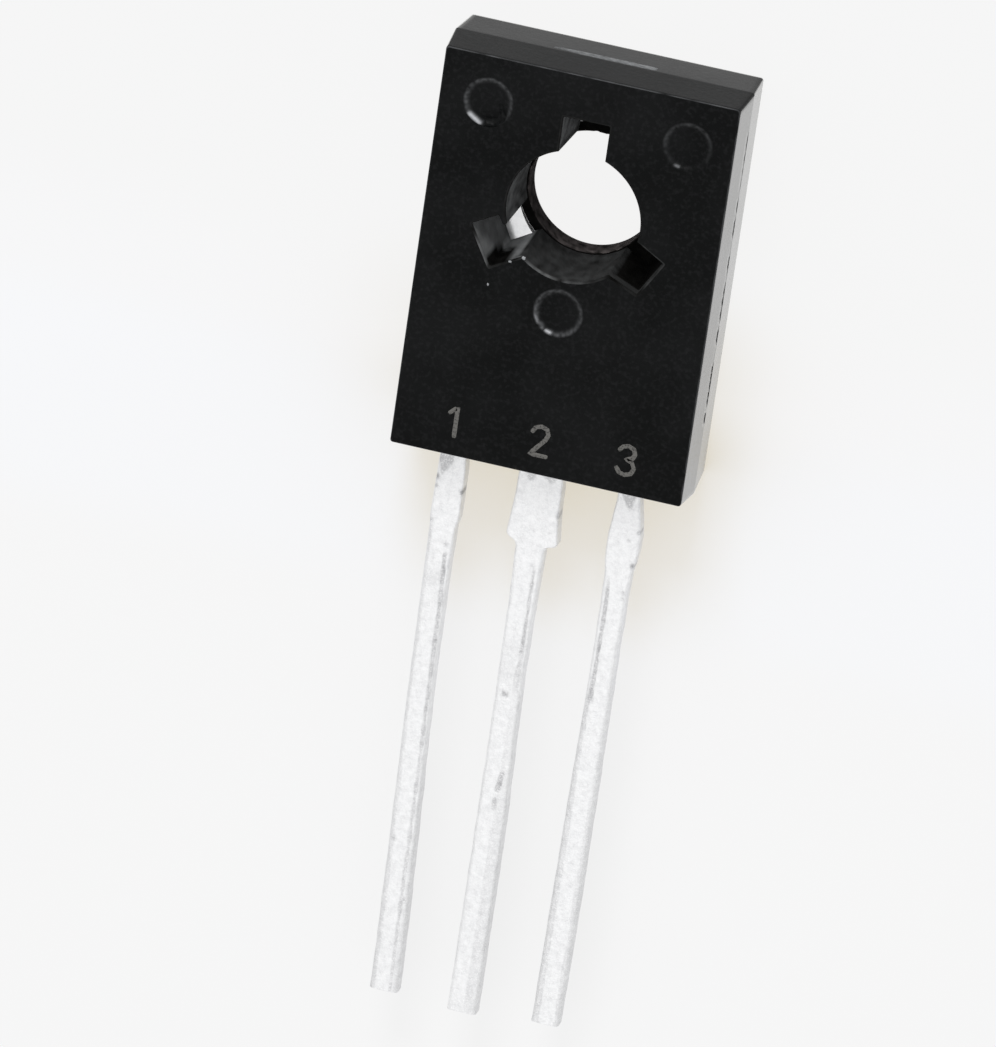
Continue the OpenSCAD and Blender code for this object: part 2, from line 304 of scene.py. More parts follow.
def wear_and_painted_light_node(tree, clean, patch, wear_and_painted_light_colour, patch_size, patch_amount):
    """Places the group of patches, marks and painted light in a material."""
    values = {"Clean": (*clean, 1), "Patch": (*patch, 1), "Worn_And_Painted_Colour": (*wear_and_painted_light_colour, 1),
              "Patch Size": patch_size, "Patch Amount": patch_amount}
    return add(tree, "ShaderNodeGroup", values, node_tree=WEAR_AND_PAINTED_LIGHT_GROUP).outputs

# %% [markdown]
# ## Moulding resin
# The body is black epoxy full of fine silica. The mould leaves a satin skin: nearly black
# when looked at squarely, but its flat sides shine pale when seen along them, because the
# light skims off the skin. That skimming gloss is a coat that Layer Weight lets in only
# near grazing angles. Near those angles the base colour is also painted a pale grey, a
# painted sheen. A plain glossy black would be simpler, but would mirror the sky on the front
# too, where the real skin stays dark. Single grains make the tiny speckle. The rounded edges
# are a little grey, and the front edge and the ejector marks get painted highlights.

# %% Material: black epoxy
SKIMMING = [(0.0, 0.0), (0.5, 0.0), (0.585, 0.07), (0.69, 0.11), (0.77, 1.0)]
# The second colour is a painted sheen: the pale grey that the base colour turns near grazing
# angles.
SPECK, PAINTED_SHEEN = (0.022, 0.022, 0.0235), (0.42, 0.415, 0.4)


def epoxy_material():
    material, tree, shader = new_material(
        "black_epoxy", {"IOR": 1.18, "Coat IOR": 2.2, "Coat Roughness": 0.22})
    fine, coarse = grain(tree, 0.11, 0.8), grain(tree, 0.16)
    skin = wear_and_painted_light_node(tree, (0.001, 0.0013, 0.0013), (0.006, 0.0064, 0.0067), (0.45, 0.46, 0.48),
                2.2, 0.6)
    facing = add(tree, "ShaderNodeLayerWeight", {"Blend": 0.5}).outputs["Facing"]
    speckled = mix(tree, spread(tree, fine["Mask"], 0.0, 0.27), skin["Color"], SPECK)
    # Painted sheen: near grazing angles the base colour is mixed towards a pale grey.
    grazing = spread(tree, facing, 0.0, 1.0, 0.7, 0.8)
    feed(tree, shader, {"Base Color": mix(tree, grazing, speckled, PAINTED_SHEEN),
                        "Coat Weight": ramp(tree, facing, SKIMMING),
                        "Roughness": spread(tree, skin["Patches"], 0.40, 0.47)})
    bump(tree, shader, (coarse["Height"], 0.006), (fine["Height"], 0.003))
    return material


EPOXY = epoxy_material()
print("material", EPOXY.name, "with", len(EPOXY.node_tree.nodes), "nodes")

# %% [markdown]
# ## Broken resin
# Where the resin was snapped off at the gate, and in crumbs of flash, there is no mould
# skin. The torn filler scatters light, so a broken place is grey and quite dull. The body's
# finish in a greyer tone would still have its gloss, so this one has coarse bumps instead.

# %% Material: broken epoxy
def broken_material():
    material, tree, shader = new_material("broken_epoxy", {"IOR": 1.5})
    fine, coarse = grain(tree, 0.03, 0.8), grain(tree, 0.12, 1.2)
    skin = wear_and_painted_light_node(tree, (0.045, 0.047, 0.05), (0.035, 0.037, 0.04), (0.3, 0.31, 0.32), 0.35, 1.0)
    feed(tree, shader, {"Base Color": skin["Color"],
                        "Roughness": spread(tree, coarse["Mask"], 0.5, 0.75)})
    bump(tree, shader, (coarse["Height"], 0.03), (fine["Height"], 0.012))
    return material


BROKEN = broken_material()
print("material", BROKEN.name, "with", len(BROKEN.node_tree.nodes), "nodes")

# %% [markdown]
# ## Resin inside the hole
# The hole is formed by a core pin that is rougher than the mould, so its wall is dull and
# faintly streaked, without the skimming gloss. Its pale places are painted light: a painted
# highlight round the rim, and painted reflection on the wall. In the lining behind the ledge
# a warm grey band is painted on as the reflection of the bright sheet. One function makes
# both, because they differ only in the colour of their painted places.

# %% Materials: epoxy of the hole
def hole_material(name, wear_and_painted_light_colour):
    material, tree, shader = new_material(name, {"IOR": 1.04})
    fine, coarse = grain(tree, 0.05), grain(tree, 0.2, 0.8)
    skin = wear_and_painted_light_node(tree, (0.003, 0.0029, 0.0027), (0.007, 0.0068, 0.0064), wear_and_painted_light_colour, 0.35, 1.0)
    feed(tree, shader, {"Base Color": skin["Color"],
                        "Roughness": spread(tree, skin["Patches"], 0.6, 0.75)})
    bump(tree, shader, (coarse["Height"], 0.02), (fine["Height"], 0.004))
    return material


# The second colour of each is painted light: the highlights and reflections of the hole's rim
# and wall, and the lining's pale band.
HOLE_EPOXY = hole_material("pin_side_epoxy", (0.35, 0.36, 0.365))
LINING_EPOXY = hole_material("lining_epoxy", (0.3, 0.265, 0.26))
print("materials", HOLE_EPOXY.name, "and", LINING_EPOXY.name)

# %% [markdown]
# ## Tin plating
# The copper leads are dipped in tin. Matte tin is a bright metal whose light is spread by
# small crystals, so it looks almost white under a pale sky. Its creases sink a little and
# are painted grey as shade, its rounded sides carry painted shade, and the lead's shadow on
# the sheet is painted on beside them. Next to the body it has dull grey patches with
# slanting edges. The mesh marks creases, pits and these places with its value for each
# point. A full metal would turn dark wherever it mirrors something dark, so this one is only
# partly metallic. Where a rib of the mould pressed on the pad the tin is smooth: the same
# function, with less grain.

# %% Materials: tin
def tin_material(name, smooth, rough, grain_depth):
    material, tree, shader = new_material(name)
    fine, coarse = grain(tree, 0.035), grain(tree, 0.11)
    # The third colour greys the pits, and paints shade into the creases and rounded sides.
    skin = wear_and_painted_light_node(tree, (0.94, 0.943, 0.947), (0.86, 0.863, 0.87), (0.28, 0.28, 0.29), 0.16, 0.9)
    feed(tree, shader, {"Base Color": mix(tree, fine["Mask"], skin["Color"], (1.0, 1.0, 1.0)),
                        "Metallic": spread(tree, skin["Wear_And_Painted_Light"], 0.72, 0.5),
                        "Roughness": spread(tree, coarse["Mask"], smooth, rough)})
    bump(tree, shader, (coarse["Height"], grain_depth), (fine["Height"], grain_depth / 3))
    return material


TIN = tin_material("matte_tin", 0.36, 0.52, 0.024)
PRESSED_TIN = tin_material("pressed_tin", 0.1, 0.2, 0.001)
print("materials", TIN.name, "and", PRESSED_TIN.name)

# %% [markdown]
# ## Silicon, solder, bond wire and marking ink
# The chip, its solder and its two wires are buried in the resin, and their CAD solids have
# the right shape already, so they only need finishes. The chip's face is polished and split
# by thin pale lines into fingers. The solder froze in lumps. The wire was drawn through a
# die, which leaves fine lines along it. The ink is a thin grey layer with pinholes. Waves
# and noise draw all of this, so it stays sharp however near the camera comes.

# %% Materials: silicon and solder
def silicon_material():
    material, tree, shader = new_material("silicon_die", {"Metallic": 0.6})
    stripes = add(tree, "ShaderNodeTexWave", {"Scale": 900.0, "Distortion": 0.0})
    feed(tree, stripes, {"Vector": place(tree)})
    dark, pale = (0.05, 0.055, 0.075), (0.55, 0.56, 0.58)
    lines = ramp(tree, stripes.outputs["Fac"], [(0.0, dark), (0.86, dark), (0.9, pale)])
    dust = grain(tree, 0.05, 2.0)
    feed(tree, shader, {"Base Color": lines, "Roughness": spread(tree, dust["Mask"], 0.12, 0.4)})
    bump(tree, shader, (lines, 0.004))
    return material


def solder_material():
    material, tree, shader = new_material("dull_solder", {"Metallic": 1.0})
    frozen = grain(tree, 0.2)
    skin = wear_and_painted_light_node(tree, (0.6, 0.6, 0.61), (0.42, 0.42, 0.44), (0.3, 0.3, 0.3), 0.5, 1.0)
    feed(tree, shader, {"Base Color": skin["Color"],
                        "Roughness": spread(tree, frozen["Mask"], 0.3, 0.5)})
    bump(tree, shader, (frozen["Height"], 0.03))
    return material


SILICON, SOLDER = silicon_material(), solder_material()
print("materials", SILICON.name, "and", SOLDER.name)

# %% Materials: bond wire and marking ink
def wire_material():
    material, tree, shader = new_material("aluminium_wire", {"Metallic": 1.0})
    squeeze = add(tree, "ShaderNodeVectorMath", {1: (1.0, 1.0, 0.08)}, operation="MULTIPLY")
    lines = add(tree, "ShaderNodeTexNoise", {"Scale": 9000.0, "Detail": 2.0})
    join(tree, (place(tree), squeeze.inputs[0]), (squeeze.outputs[0], lines.inputs["Vector"]))
    drawn = lines.outputs["Fac"]
    tone = ramp(tree, drawn, [(0.3, (0.74, 0.74, 0.76)), (0.7, (0.88, 0.88, 0.89))])
    feed(tree, shader, {"Base Color": tone, "Roughness": spread(tree, drawn, 0.2, 0.38)})
    bump(tree, shader, (drawn, 0.002))
    return material


def ink_material():
    material, tree, shader = new_material("marking_ink", {"IOR": 1.3})
    pinholes = grain(tree, 0.045)
    tone = ramp(tree, pinholes["Mask"], [(0.0, (0.115, 0.112, 0.105)),
                                         (0.5, (0.05, 0.049, 0.046)), (1.0, 0.008)])
    feed(tree, shader, {"Base Color": tone,
                        "Roughness": spread(tree, pinholes["Mask"], 0.6, 0.45)})
    bump(tree, shader, (pinholes["Height"], 0.002))
    return material


WIRE, INK = wire_material(), ink_material()
print("materials", WIRE.name, "and", INK.name)

# %% [markdown]
# ## Building a mesh from rings
# Almost every surface here is a band between two rings of points: the body's sides, the
# wall of the hole, a lead from end to end. A skin collects rings, bands and flat fills, and
# keeps for each point a number of wear and painted light. A bevel could round the edges as
# well, but with rings the place of every point is known, and so is that number. Faces that
# are truly flat are shaded flat, so that the small rounded edges beside them don't tint them.

# %% The skin that collects points and faces
class Skin:
    """Points in millimetres, faces, and a value of real marks and painted light for each point.
    """

    def __init__(self):
        self.points, self.wear, self.faces, self.flat = [], [], [], set()

    def ring(self, points, wear=0.0):
        """Adds points and returns their numbers; the greyness given is one value or one for each
        point.
        """
        start = len(self.points)
        self.points += [Vector(p) for p in points]
        values = [wear] * len(points) if isinstance(wear, (int, float)) else wear
        self.wear += [max(0.0, value) for value in values]
        return list(range(start, len(self.points)))

    def level(self, outline, z, wear=0.0):
        """Adds an outline of (x, y) points at one height."""
        return self.ring([(x, y, z) for x, y in outline], wear)

    def band(self, first, second, closed=True):
        """Joins two rings of the same count with four-sided faces."""
        count = len(first)
        for i in range(count if closed else count - 1):
            j = (i + 1) % count
            self.faces.append((first[i], first[j], second[j], second[i]))

    def loft(self, rings, closed=True):
        """Joins each ring to the next."""
        for first, second in zip(rings, rings[1:]):
            self.band(first, second, closed)

    def lid(self, ring):
        """One flat face on a ring of point numbers."""
        self.flat.add(len(self.faces))
        self.faces.append(tuple(ring))


print("a new skin has", len(Skin().points), "points")

# %% [markdown]
# A flat face with holes could be cut with a boolean, which tends to leave slivers. Here it
# is filled by a Delaunay triangulation, on the points of its outlines alone. Each triangle
# tells which outlines it lies in, so the ones inside a hole are left out.

# %% Filling a flat face and turning a skin into a piece
def fill_flat(skin, outline, holes):
    """Fills an outline of point numbers, leaving the holes open."""
    numbers, borders = [], []
    for loop in (outline, *holes):
        borders.append(list(range(len(numbers), len(numbers) + len(loop))))
        numbers += loop
    flat = [skin.points[n].xy for n in numbers]
    _, _, faces, origin, _, owner = delaunay_2d_cdt(flat, [], borders, 1, 1e-7, True)
    for face, loops in zip(faces, owner):
        if list(loops) == [0]:
            skin.lid(numbers[origin[v][0]] for v in face)


def piece(name, skin, material, replaced=(), sharp=38):
    """Makes a Blender object of a skin, in metres, and lets it ride on the CAD body."""
    mesh = bpy.data.meshes.new(name)
    mesh.from_pydata([p * MM for p in skin.points], [], skin.faces)
    outward = bmesh.new()
    outward.from_mesh(mesh)
    bmesh.ops.recalc_face_normals(outward, faces=outward.faces)
    outward.to_mesh(mesh)
    outward.free()
    mesh.attributes.new("wear", "FLOAT", "POINT").data.foreach_set("value", skin.wear)
    mesh.materials.append(material)
    mesh.shade_smooth()
    mesh.set_sharp_from_angle(angle=math.radians(sharp))
    for number in skin.flat:
        mesh.polygons[number].use_smooth = False
    made = put(name, mesh)
    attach(made, "root")
    if replaced:
        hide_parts(*replaced)
    size = [round(v / MM, 2) for v in made.dimensions]
    print(f"{name}: {len(skin.faces)} faces, {size} mm")


print("meshes of the CAD:", len(bpy.data.meshes))

# %% [markdown]
# ## Outlines
# Two outlines are used over and over: a rectangle with rounded corners, for the block and
# the pad, and the screw hole with its three notches. Each gives the same count of points
# whatever its size, so that rings at different heights can be joined. The noise that makes
# edges ragged is a fixed function of the place, so it is the same on every run.

# %% Helpers for numbers
def clamp(value):
    return max(0.0, min(1.0, value))


def noise_at(x, y, z):
    """Smooth noise at a place, about -1 to 1."""
    return noise.noise(Vector((x, y, z)))


def turn(angle):
    """The way (x, y) that an angle in degrees points."""
    return math.cos(math.radians(angle)), math.sin(math.radians(angle))


print("noise at one place:", round(noise_at(0.5, 0.2, 0.1), 3))

# %% Outline of a rectangle with rounded corners
def block_outline(low, high, corner, counts=(76, 108), steps=6):
    """Points, and the way out at each, round a rectangle from its upper right corner."""
    (x0, y0), (x1, y1) = low, high
    centres = ((x1 - corner, y1 - corner, 0), (x0 + corner, y1 - corner, 90),
               (x0 + corner, y0 + corner, 180), (x1 - corner, y0 + corner, 270))
    points, ways = [], []
    for number, (x, y, start) in enumerate(centres):
        for step in range(steps):
            c, s = turn(start + 90 * step / (steps - 1))
            points.append((x + corner * c, y + corner * s))
            ways.append((c, s))
        nx, ny, ahead = centres[(number + 1) % 4]
        c, s = turn(ahead)
        (ax, ay), (bx, by) = points[-1], (nx + corner * c, ny + corner * s)
        count = counts[number % 2]
        for t in (k / count for k in range(1, count)):
            points.append((ax + (bx - ax) * t, ay + (by - ay) * t))
            ways.append((c, s))
    return points, ways


print("block outline of", len(block_outline((0, 0), (1, 1), 0.1)[0]), "points")

# %% [markdown]
# The notches of the hole are numbered 0 at the top, 1 at the lower left and 2 at the lower
# right. A place in a notch is given along it, away from the hole's axis, and across it.
# A thin fin of resin stands at one side of notch 1. Notch 2 is short, with a skew side.

# %% Outline of the screw hole with its notches
FIN, SKEW = 0.33, 0.09
NOTCH_POINTS, ARC_POINTS = 8, 36


def notch_ways(number):
    return turn(NOTCH_ANGLES[number]), turn(NOTCH_ANGLES[number] + 90)


def from_notch(number, along, across):
    """The place (x, y) of a point that is given along and across a notch."""
    (ux, uy), (wx, wy) = notch_ways(number)
    return along * ux + across * wx, along * uy + across * wy


def notch_path(number, radius, reach, half, corner=0.04):
    """Points (along, across) round a notch, from the bore's circle out and back."""
    near, far = math.sqrt(radius ** 2 - half ** 2), reach - (SKEW if number == 2 else 0.0)
    step = (far - corner - near) / NOTCH_POINTS
    side = [(near + step * k, -half) for k in range(NOTCH_POINTS + 1)]
    other = [(a, -b) for a, b in reversed(side)]
    if number == 1:
        lip = math.sqrt(radius ** 2 - FIN ** 2)
        side[:6] = [(lip, -FIN), (lip + 0.03, -FIN - 0.005), (lip + 0.05, -FIN - 0.03),
                    (lip + 0.05, -half + 0.1), (lip + 0.07, -half + 0.02), (lip + 0.13, -half)]
    end = [(far, (half - corner) * (2 * k / NOTCH_POINTS - 1)) for k in range(NOTCH_POINTS + 1)]
    bend, out = far - corner * 0.3, half - corner * 0.3
    path = side + [(bend, -out)] + end + [(bend, out)] + other
    if number == 2:
        path = [(a, b + SKEW * clamp((a - near) / (far - near)) * (0.5 - 0.5 * b / half))
                for a, b in path]
    return path


def hole_outline(radius, reach, half):
    """The bore's circle with three square notches, as points round the axis."""
    points = []
    for number, angle in enumerate(NOTCH_ANGLES):
        points += [from_notch(number, a, b) for a, b in notch_path(number, radius, reach, half)]
        start = angle + math.degrees(math.asin(half / radius))
        stop = angle + 120 - math.degrees(math.asin((FIN if number == 0 else half) / radius))
        for k in range(1, ARC_POINTS):
            c, s = turn(start + (stop - start) * k / ARC_POINTS)
            points.append((radius * c, radius * s))
    return points


def hole_at(height, grow=0.0):
    """The hole's outline at a height in front of the pad, drafted like the mould's pin."""
    t = (height - PAD_THICKNESS) / (BODY_THICKNESS - PAD_THICKNESS)
    sizes = ((LEDGE_RADIUS, FRONT_RADIUS), NOTCH_REACH, NOTCH_HALF)
    return hole_outline(*(back + (front - back) * t + grow for back, front in sizes))


print("hole outline of", len(hole_at(BODY_THICKNESS)), "points")

# %% [markdown]
# ## The body's sides
# The block leaves the mould in two halves that draft away from the parting plane, where
# they meet in a blunt ridge. A thin fin of resin was squeezed out along it and broken off
# again, and down the right side it left a row of faint nicks. A box with a bevel would have
# no ridge and no draft, so rings climb from the back edge over the ridge to the front edge.

# %% Drafts, rounded edges, nicks and a painted highlight on the front edge
EDGE, CORNER = 0.03, 0.07
NICKS_LOW, NICKS_HIGH = -5.0, 2.7
# How pale the painted highlight on the front edge is.
FRONT_EDGE_HIGHLIGHT = 0.06


def rounded(edge):
    """Steps round an edge up to its flat face: how far each is below it, and sideways."""
    return [(edge * (1 - s), edge * (1 - c)) for c, s in (turn(22.5 * k) for k in range(5))]


def back_draft(z):
    return BACK_INSET * (1 - z / PARTING)


def front_draft(z):
    return (MOULD_STEP + FRONT_INSET) * (z - PARTING) / (BODY_THICKNESS - PARTING)


def nick(x, y):
    """Depth of the torn nicks: short uneven ones down the right side, more low down."""
    if x < HALF_WIDTH - 0.2 or not NICKS_LOW < y < NICKS_HIGH:
        return 0.0
    torn = noise_at(1.0, y * 3.1, 11.0) + 0.6 * noise_at(4.0, y * 9, 3.0)
    return (0.006 + 0.003 * max(0.0, 1.5 - y)) * clamp(torn * 4 + 0.3)


def front_edge_highlight(x, y):
    """Painted highlight on the front edge: uneven greyness, a little more along the top."""
    more = 1.6 if y > BODY_TOP - 0.2 else 1.0
    return FRONT_EDGE_HIGHLIGHT * more * (1 + 1.8 * noise_at(x * 3, y * 3, 9.0))


print("draft at the back", round(back_draft(0.0), 3), "and front",
      round(front_draft(BODY_THICKNESS), 3), "mm")

# %% Rings of the sides
def side_ring(skin, z, inset, inward=None, wear=0.0):
    """One ring round the block; nicks move its points inwards."""
    low = (-HALF_WIDTH + inset, BODY_BOTTOM + inset)
    high = (HALF_WIDTH - inset, BODY_TOP - inset)
    made = []
    for (x, y), (c, s) in zip(*block_outline(low, high, CORNER)):
        deep = inward(x, y) if inward else 0.0
        made.append((x - c * deep, y - s * deep))
    return skin.level(made, z, [wear(x, y) for x, y in made] if callable(wear) else wear)


def side_rings(skin):
    rings = []
    for z, inwards in reversed(rounded(EDGE)):
        rings.append(side_ring(skin, z, back_draft(z) + inwards, wear=0.04 if rings else 0.0))
    rings += [side_ring(skin, z, back_draft(z)) for z in (0.08, 0.4, 0.8, 1.2, 1.3)]
    rings.append(side_ring(skin, PARTING, 0.0, wear=0.01))
    for z, deep in ((1.37, None), (1.385, nick), (1.45, nick), (1.47, None), (1.6, None),
                    (1.8, None), (2.1, None), (2.4, None)):
        rings.append(side_ring(skin, z, front_draft(z), deep))
    for k, (below, inwards) in enumerate(rounded(EDGE)):
        z = BODY_THICKNESS - below
        # The middle rings of the front edge carry the painted highlight.
        wear = front_edge_highlight if 0 < k < 4 else 0.0
        rings.append(side_ring(skin, z, front_draft(z) + inwards, wear=wear))
    skin.loft(rings)
    return rings


body = Skin()
sides = side_rings(body)
print(len(sides), "rings make the sides, with", len(body.faces), "faces")

# %% [markdown]
# ## The screw hole
# The hole is moulded by a pin with three ribs. In front of the pad it is a drafted bore with
# notches, and its front edge is a little rounded. Behind, it narrows by a small ledge to a
# true bore through the lining that insulates the screw from the metal pad. The rim has a
# painted highlight, strongest at its lower left. The wall's greys are painted reflection:
# pale beside the metal in notch 1, grey in notch 0 and on the bore's left, while notch 1's
# far corner and notch 2 stay nearly black. A hole that is cut out would have no points to
# carry these greys, so it is lofted too.

# %% Painted light on the hole: a highlight on the rim, reflections on the wall
def rim_wear(x, y):
    """Painted highlight on the hole's rim: most along its lower left arc and on two notch edges.
    """
    angle, radius = math.degrees(math.atan2(y, x)), math.hypot(x, y)
    mottle = 0.75 + 0.8 * noise_at(x * 6, y * 6, 1.0)
    rubbed, left_notch = 44 - abs(angle + 88), angle % 360 - 200
    if radius < 1.95 and rubbed > 0:
        return (0.24 - 0.0045 * max(0.0, angle + 100)) * mottle * min(1.0, rubbed / 10)
    if radius > 1.85 and -34 < angle < -8:
        return 0.08 * mottle
    if radius > 2.2 and 0 < left_notch < 22:
        return 0.3 * mottle * min(1.0, left_notch / 9)
    return 0.03 * mottle


def notch_wear(number, along, across, z, rough):
    """Painted reflection on a notch's wall; notch 1 is dark again in its far corner, higher up.
    """
    if number == 0:
        return 0.38 * rough
    if number == 2:
        return 0.07 if z > 2.2 else 0.0
    corner = clamp((along - 1.95) * 4) * clamp((across - 0.28) * 5)
    dark = corner * clamp((z - 1.3 + 0.4 * (rough - 1)) * 2.5)
    pale = 0.95 - 0.35 * (z - PAD_THICKNESS) if across > 0.45 else 0.36
    return pale * (1 - dark) * (0.6 + 0.4 * rough) - 0.4 * dark


def wall_wear(x, y, z):
    """Painted reflection on the wall: each notch has its own, and the bore is paler on its left.
    """
    rough = 1 + 0.9 * noise_at(x * 5, y * 5, z * 3) + 0.4 * noise_at(x * 14, y * 14, z * 9)
    for number in range(3):
        (ux, uy), (wx, wy) = notch_ways(number)
        along, across = x * ux + y * uy, x * wx + y * wy
        if along > FRONT_RADIUS and abs(across) < 0.7:
            return notch_wear(number, along, across, z, rough)
    angle = math.degrees(math.atan2(y, x)) % 360
    left = clamp(min(215 - angle, angle - 100) / 20)
    return (0.075 + 0.17 * left) * rough


print("greyness at the rim's lowest point:", round(rim_wear(0.0, -FRONT_RADIUS), 3))

# %% Hole wall
RIM_EDGE = 0.045
WALL_HEIGHTS = [0.585, 0.62] + [k / 10 for k in range(7, 22)] + [2.18, 2.24, 2.3, 2.4]


def hole_wall(skin):
    """Rings from the pad's front to the rounded edge at the front face."""
    rings = []
    for z in WALL_HEIGHTS:
        outline = hole_at(z)
        # Each point of the wall gets its painted reflection.
        rings.append(skin.level(outline, z, [wall_wear(x, y, z) for x, y in outline]))
    for below, outwards in rounded(RIM_EDGE):
        outline = hole_at(BODY_THICKNESS - below, outwards)
        # Each point of the rounded rim gets its painted highlight.
        values = [rim_wear(x, y) for x, y in outline]
        rings.append(skin.level(outline, BODY_THICKNESS - below, values))
    skin.loft(rings)
    return rings[-1]


def resin_film(skin):
    """A thin film of the hole's resin over the pad in the lower right notch, which keeps that
    notch's floor black.
    """
    corners = ((1.67, -0.59), (2.45, -0.59), (2.45, 0.59), (1.67, 0.59))
    square = [from_notch(2, a, b) for a, b in corners]
    rings = [skin.level(square, PAD_THICKNESS + z) for z in (-0.01, 0.03)]
    skin.loft(rings)
    skin.lid(rings[-1])


hole = Skin()
rim = [hole.points[n] for n in hole_wall(hole)]
resin_film(hole)
piece("screw_hole", hole, HOLE_EPOXY, ("moulded_body",))

# %% Lining of the pad's hole
LINING_OUTSIDE = PAD_HOLE - 0.002
# The greyness of the lining's wall is a painted reflection of the bright sheet seen through the
# hole.
LINING_WALL_REFLECTION = ((0.012, 0.28), (0.1, 0.19), (0.2, 0.2), (0.3, 0.19), (0.4, 0.22), (0.5, 0.26),
               (0.585, 0.2))


def lining_ring(skin):
    """A short tube with slightly rounded edges; each row holds a radius, z and greyness, the
    greyness painting a reflection on the wall.
    """
    profile = [(LINING_OUTSIDE, 0.0, 0.0), (BORE_RADIUS + 0.012, 0.0, 0.0),
               (BORE_RADIUS + 0.004, 0.004, 0.3)]
    profile += [(BORE_RADIUS, z, wear) for z, wear in LINING_WALL_REFLECTION]
    profile += [(BORE_RADIUS + 0.004, 0.596, 0.2), (BORE_RADIUS + 0.03, PAD_THICKNESS, 0.0),
                (LINING_OUTSIDE, PAD_THICKNESS, 0.0)]
    rings = []
    for radius, z, wear in profile:
        points, values = [], []
        for c, s in (turn(a * 2) for a in range(180)):
            spot = noise_at(c * 9, s * 9, z * 7)
            chip = max(0.0, spot - 0.1) * 0.06 if 0.3 < z < PAD_THICKNESS else 0.0
            points.append(((radius + chip) * c, (radius + chip) * s))
            values.append(wear * (1 + 1.5 * spot + 0.6 * noise_at(c * 25, s * 25, z * 12)))
        rings.append(skin.level(points, z, values))
    skin.loft(rings + rings[:1])


lining = Skin()
lining_ring(lining)
piece("hole_lining", lining, LINING_EPOXY, ("moulded_body",))

# %% [markdown]
# ## Ejector-pin marks
# Three pins pushed the block out of the mould while it was still warm. Each left a shallow
# round dent with a sloping ring. The ring is painted pale as a highlight, palest towards one
# side, with painted glints on it. The upper left pin was chipped, and dug a small wedge into
# its dent. A bump in the material would do from above, but a real dent also looks right from
# the side. Each is a ring on the face, a slope and a floor.

# %% Distances on a flat face
def inside(x, y, outline):
    """How deep a point lies inside a convex outline, listed anticlockwise; below 0 outside."""
    depth = 1.0
    for (ax, ay), (bx, by) in zip(outline, outline[1:] + outline[:1]):
        side = (bx - ax) * (y - ay) - (by - ay) * (x - ax)
        depth = min(depth, side / math.hypot(bx - ax, by - ay))
    return depth


def near_line(x, y, a, b):
    """Distance of a point from the line between a and b."""
    (ax, ay), (bx, by) = a, b
    t = ((x - ax) * (bx - ax) + (y - ay) * (by - ay)) / ((bx - ax) ** 2 + (by - ay) ** 2)
    t = clamp(t)
    return math.hypot(x - ax - t * (bx - ax), y - ay - t * (by - ay))


print("a point beside a line is", near_line(0.5, 0.25, (0, 0), (1, 0)), "mm from it")

# %% Marks
MARK_DEPTH, WEDGE_DEPTH, PIT_DEPTH, MARK_POINTS = 0.07, 0.1, 0.06, 96
# Rows of radius, depth and tone; the tone paints the ring pale as a highlight.
SLOPE = [(0.655, 0.0, 0.0), (0.63, -0.003, 0.35), (0.6, -0.014, 0.95), (0.575, -0.03, 1.0),
         (0.545, -0.045, 0.7), (0.52, -0.06, 0.35), (0.49, -MARK_DEPTH, 0.1)]
MARK_FLOOR = [(0.46 - 0.025 * k, -MARK_DEPTH, 0.0) for k in range(18)]


def dug(x, y, z, grey, glints, wedge):
    """Height and painted greyness of a place after the wedge and the glints; a glint is a
    painted highlight, and a dark glint is a pit.
    """
    if wedge:
        within = clamp(inside(x, y, wedge) / 0.04)
        z -= min(WEDGE_DEPTH, 0.35 * near_line(x, y, wedge[0], wedge[-1])) * within
        grey *= 1 - within
    for start, finish, width, gleam in glints:
        share = math.exp(-(near_line(x, y, start, finish) / width) ** 2)
        grey += gleam * share
        z -= PIT_DEPTH * share if gleam < 0 else 0.0
    return z, grey


def mark(skin, x, y, shine, swing, bright_way, glints, wedge=()):
    """One dent; returns the ring on the front face that the face is cut out to."""
    rings = []
    for radius, depth, tone in SLOPE + MARK_FLOOR:
        points, values = [], []
        for a in range(MARK_POINTS):
            angle = a * 360 / MARK_POINTS
            c, s = turn(angle)
            r = radius * (1 + 0.014 * noise_at(x + c * 2, y + s * 2, radius * 3))
            px, py = x + r * c, y + r * s
            z = depth + (0.005 * noise_at(px * 5, py * 5, 2.0) if depth < -0.02 else 0.0)
            # Painted highlight: the ring is palest towards the given way and darker away from
            # it.
            side = 1 + swing * (turn(angle - bright_way)[0] - 1) / 2
            mottle = 1 + 0.8 * noise_at(c * 3, s * 3, x) + 1.3 * noise_at(px * 12, py * 12, 4.0)
            grey = shine * tone * side * mottle
            if depth < 0:
                z, grey = dug(px, py, z, grey, glints, wedge)
            points.append((px, py, BODY_THICKNESS + z))
            values.append(clamp(grey))
        rings.append(skin.ring(points, values))
    skin.loft(rings)
    centre = skin.ring([(x, y, BODY_THICKNESS - MARK_DEPTH)])[0]
    for i in range(MARK_POINTS):
        skin.faces.append((rings[-1][i], rings[-1][(i + 1) % MARK_POINTS], centre))
    return rings[0]


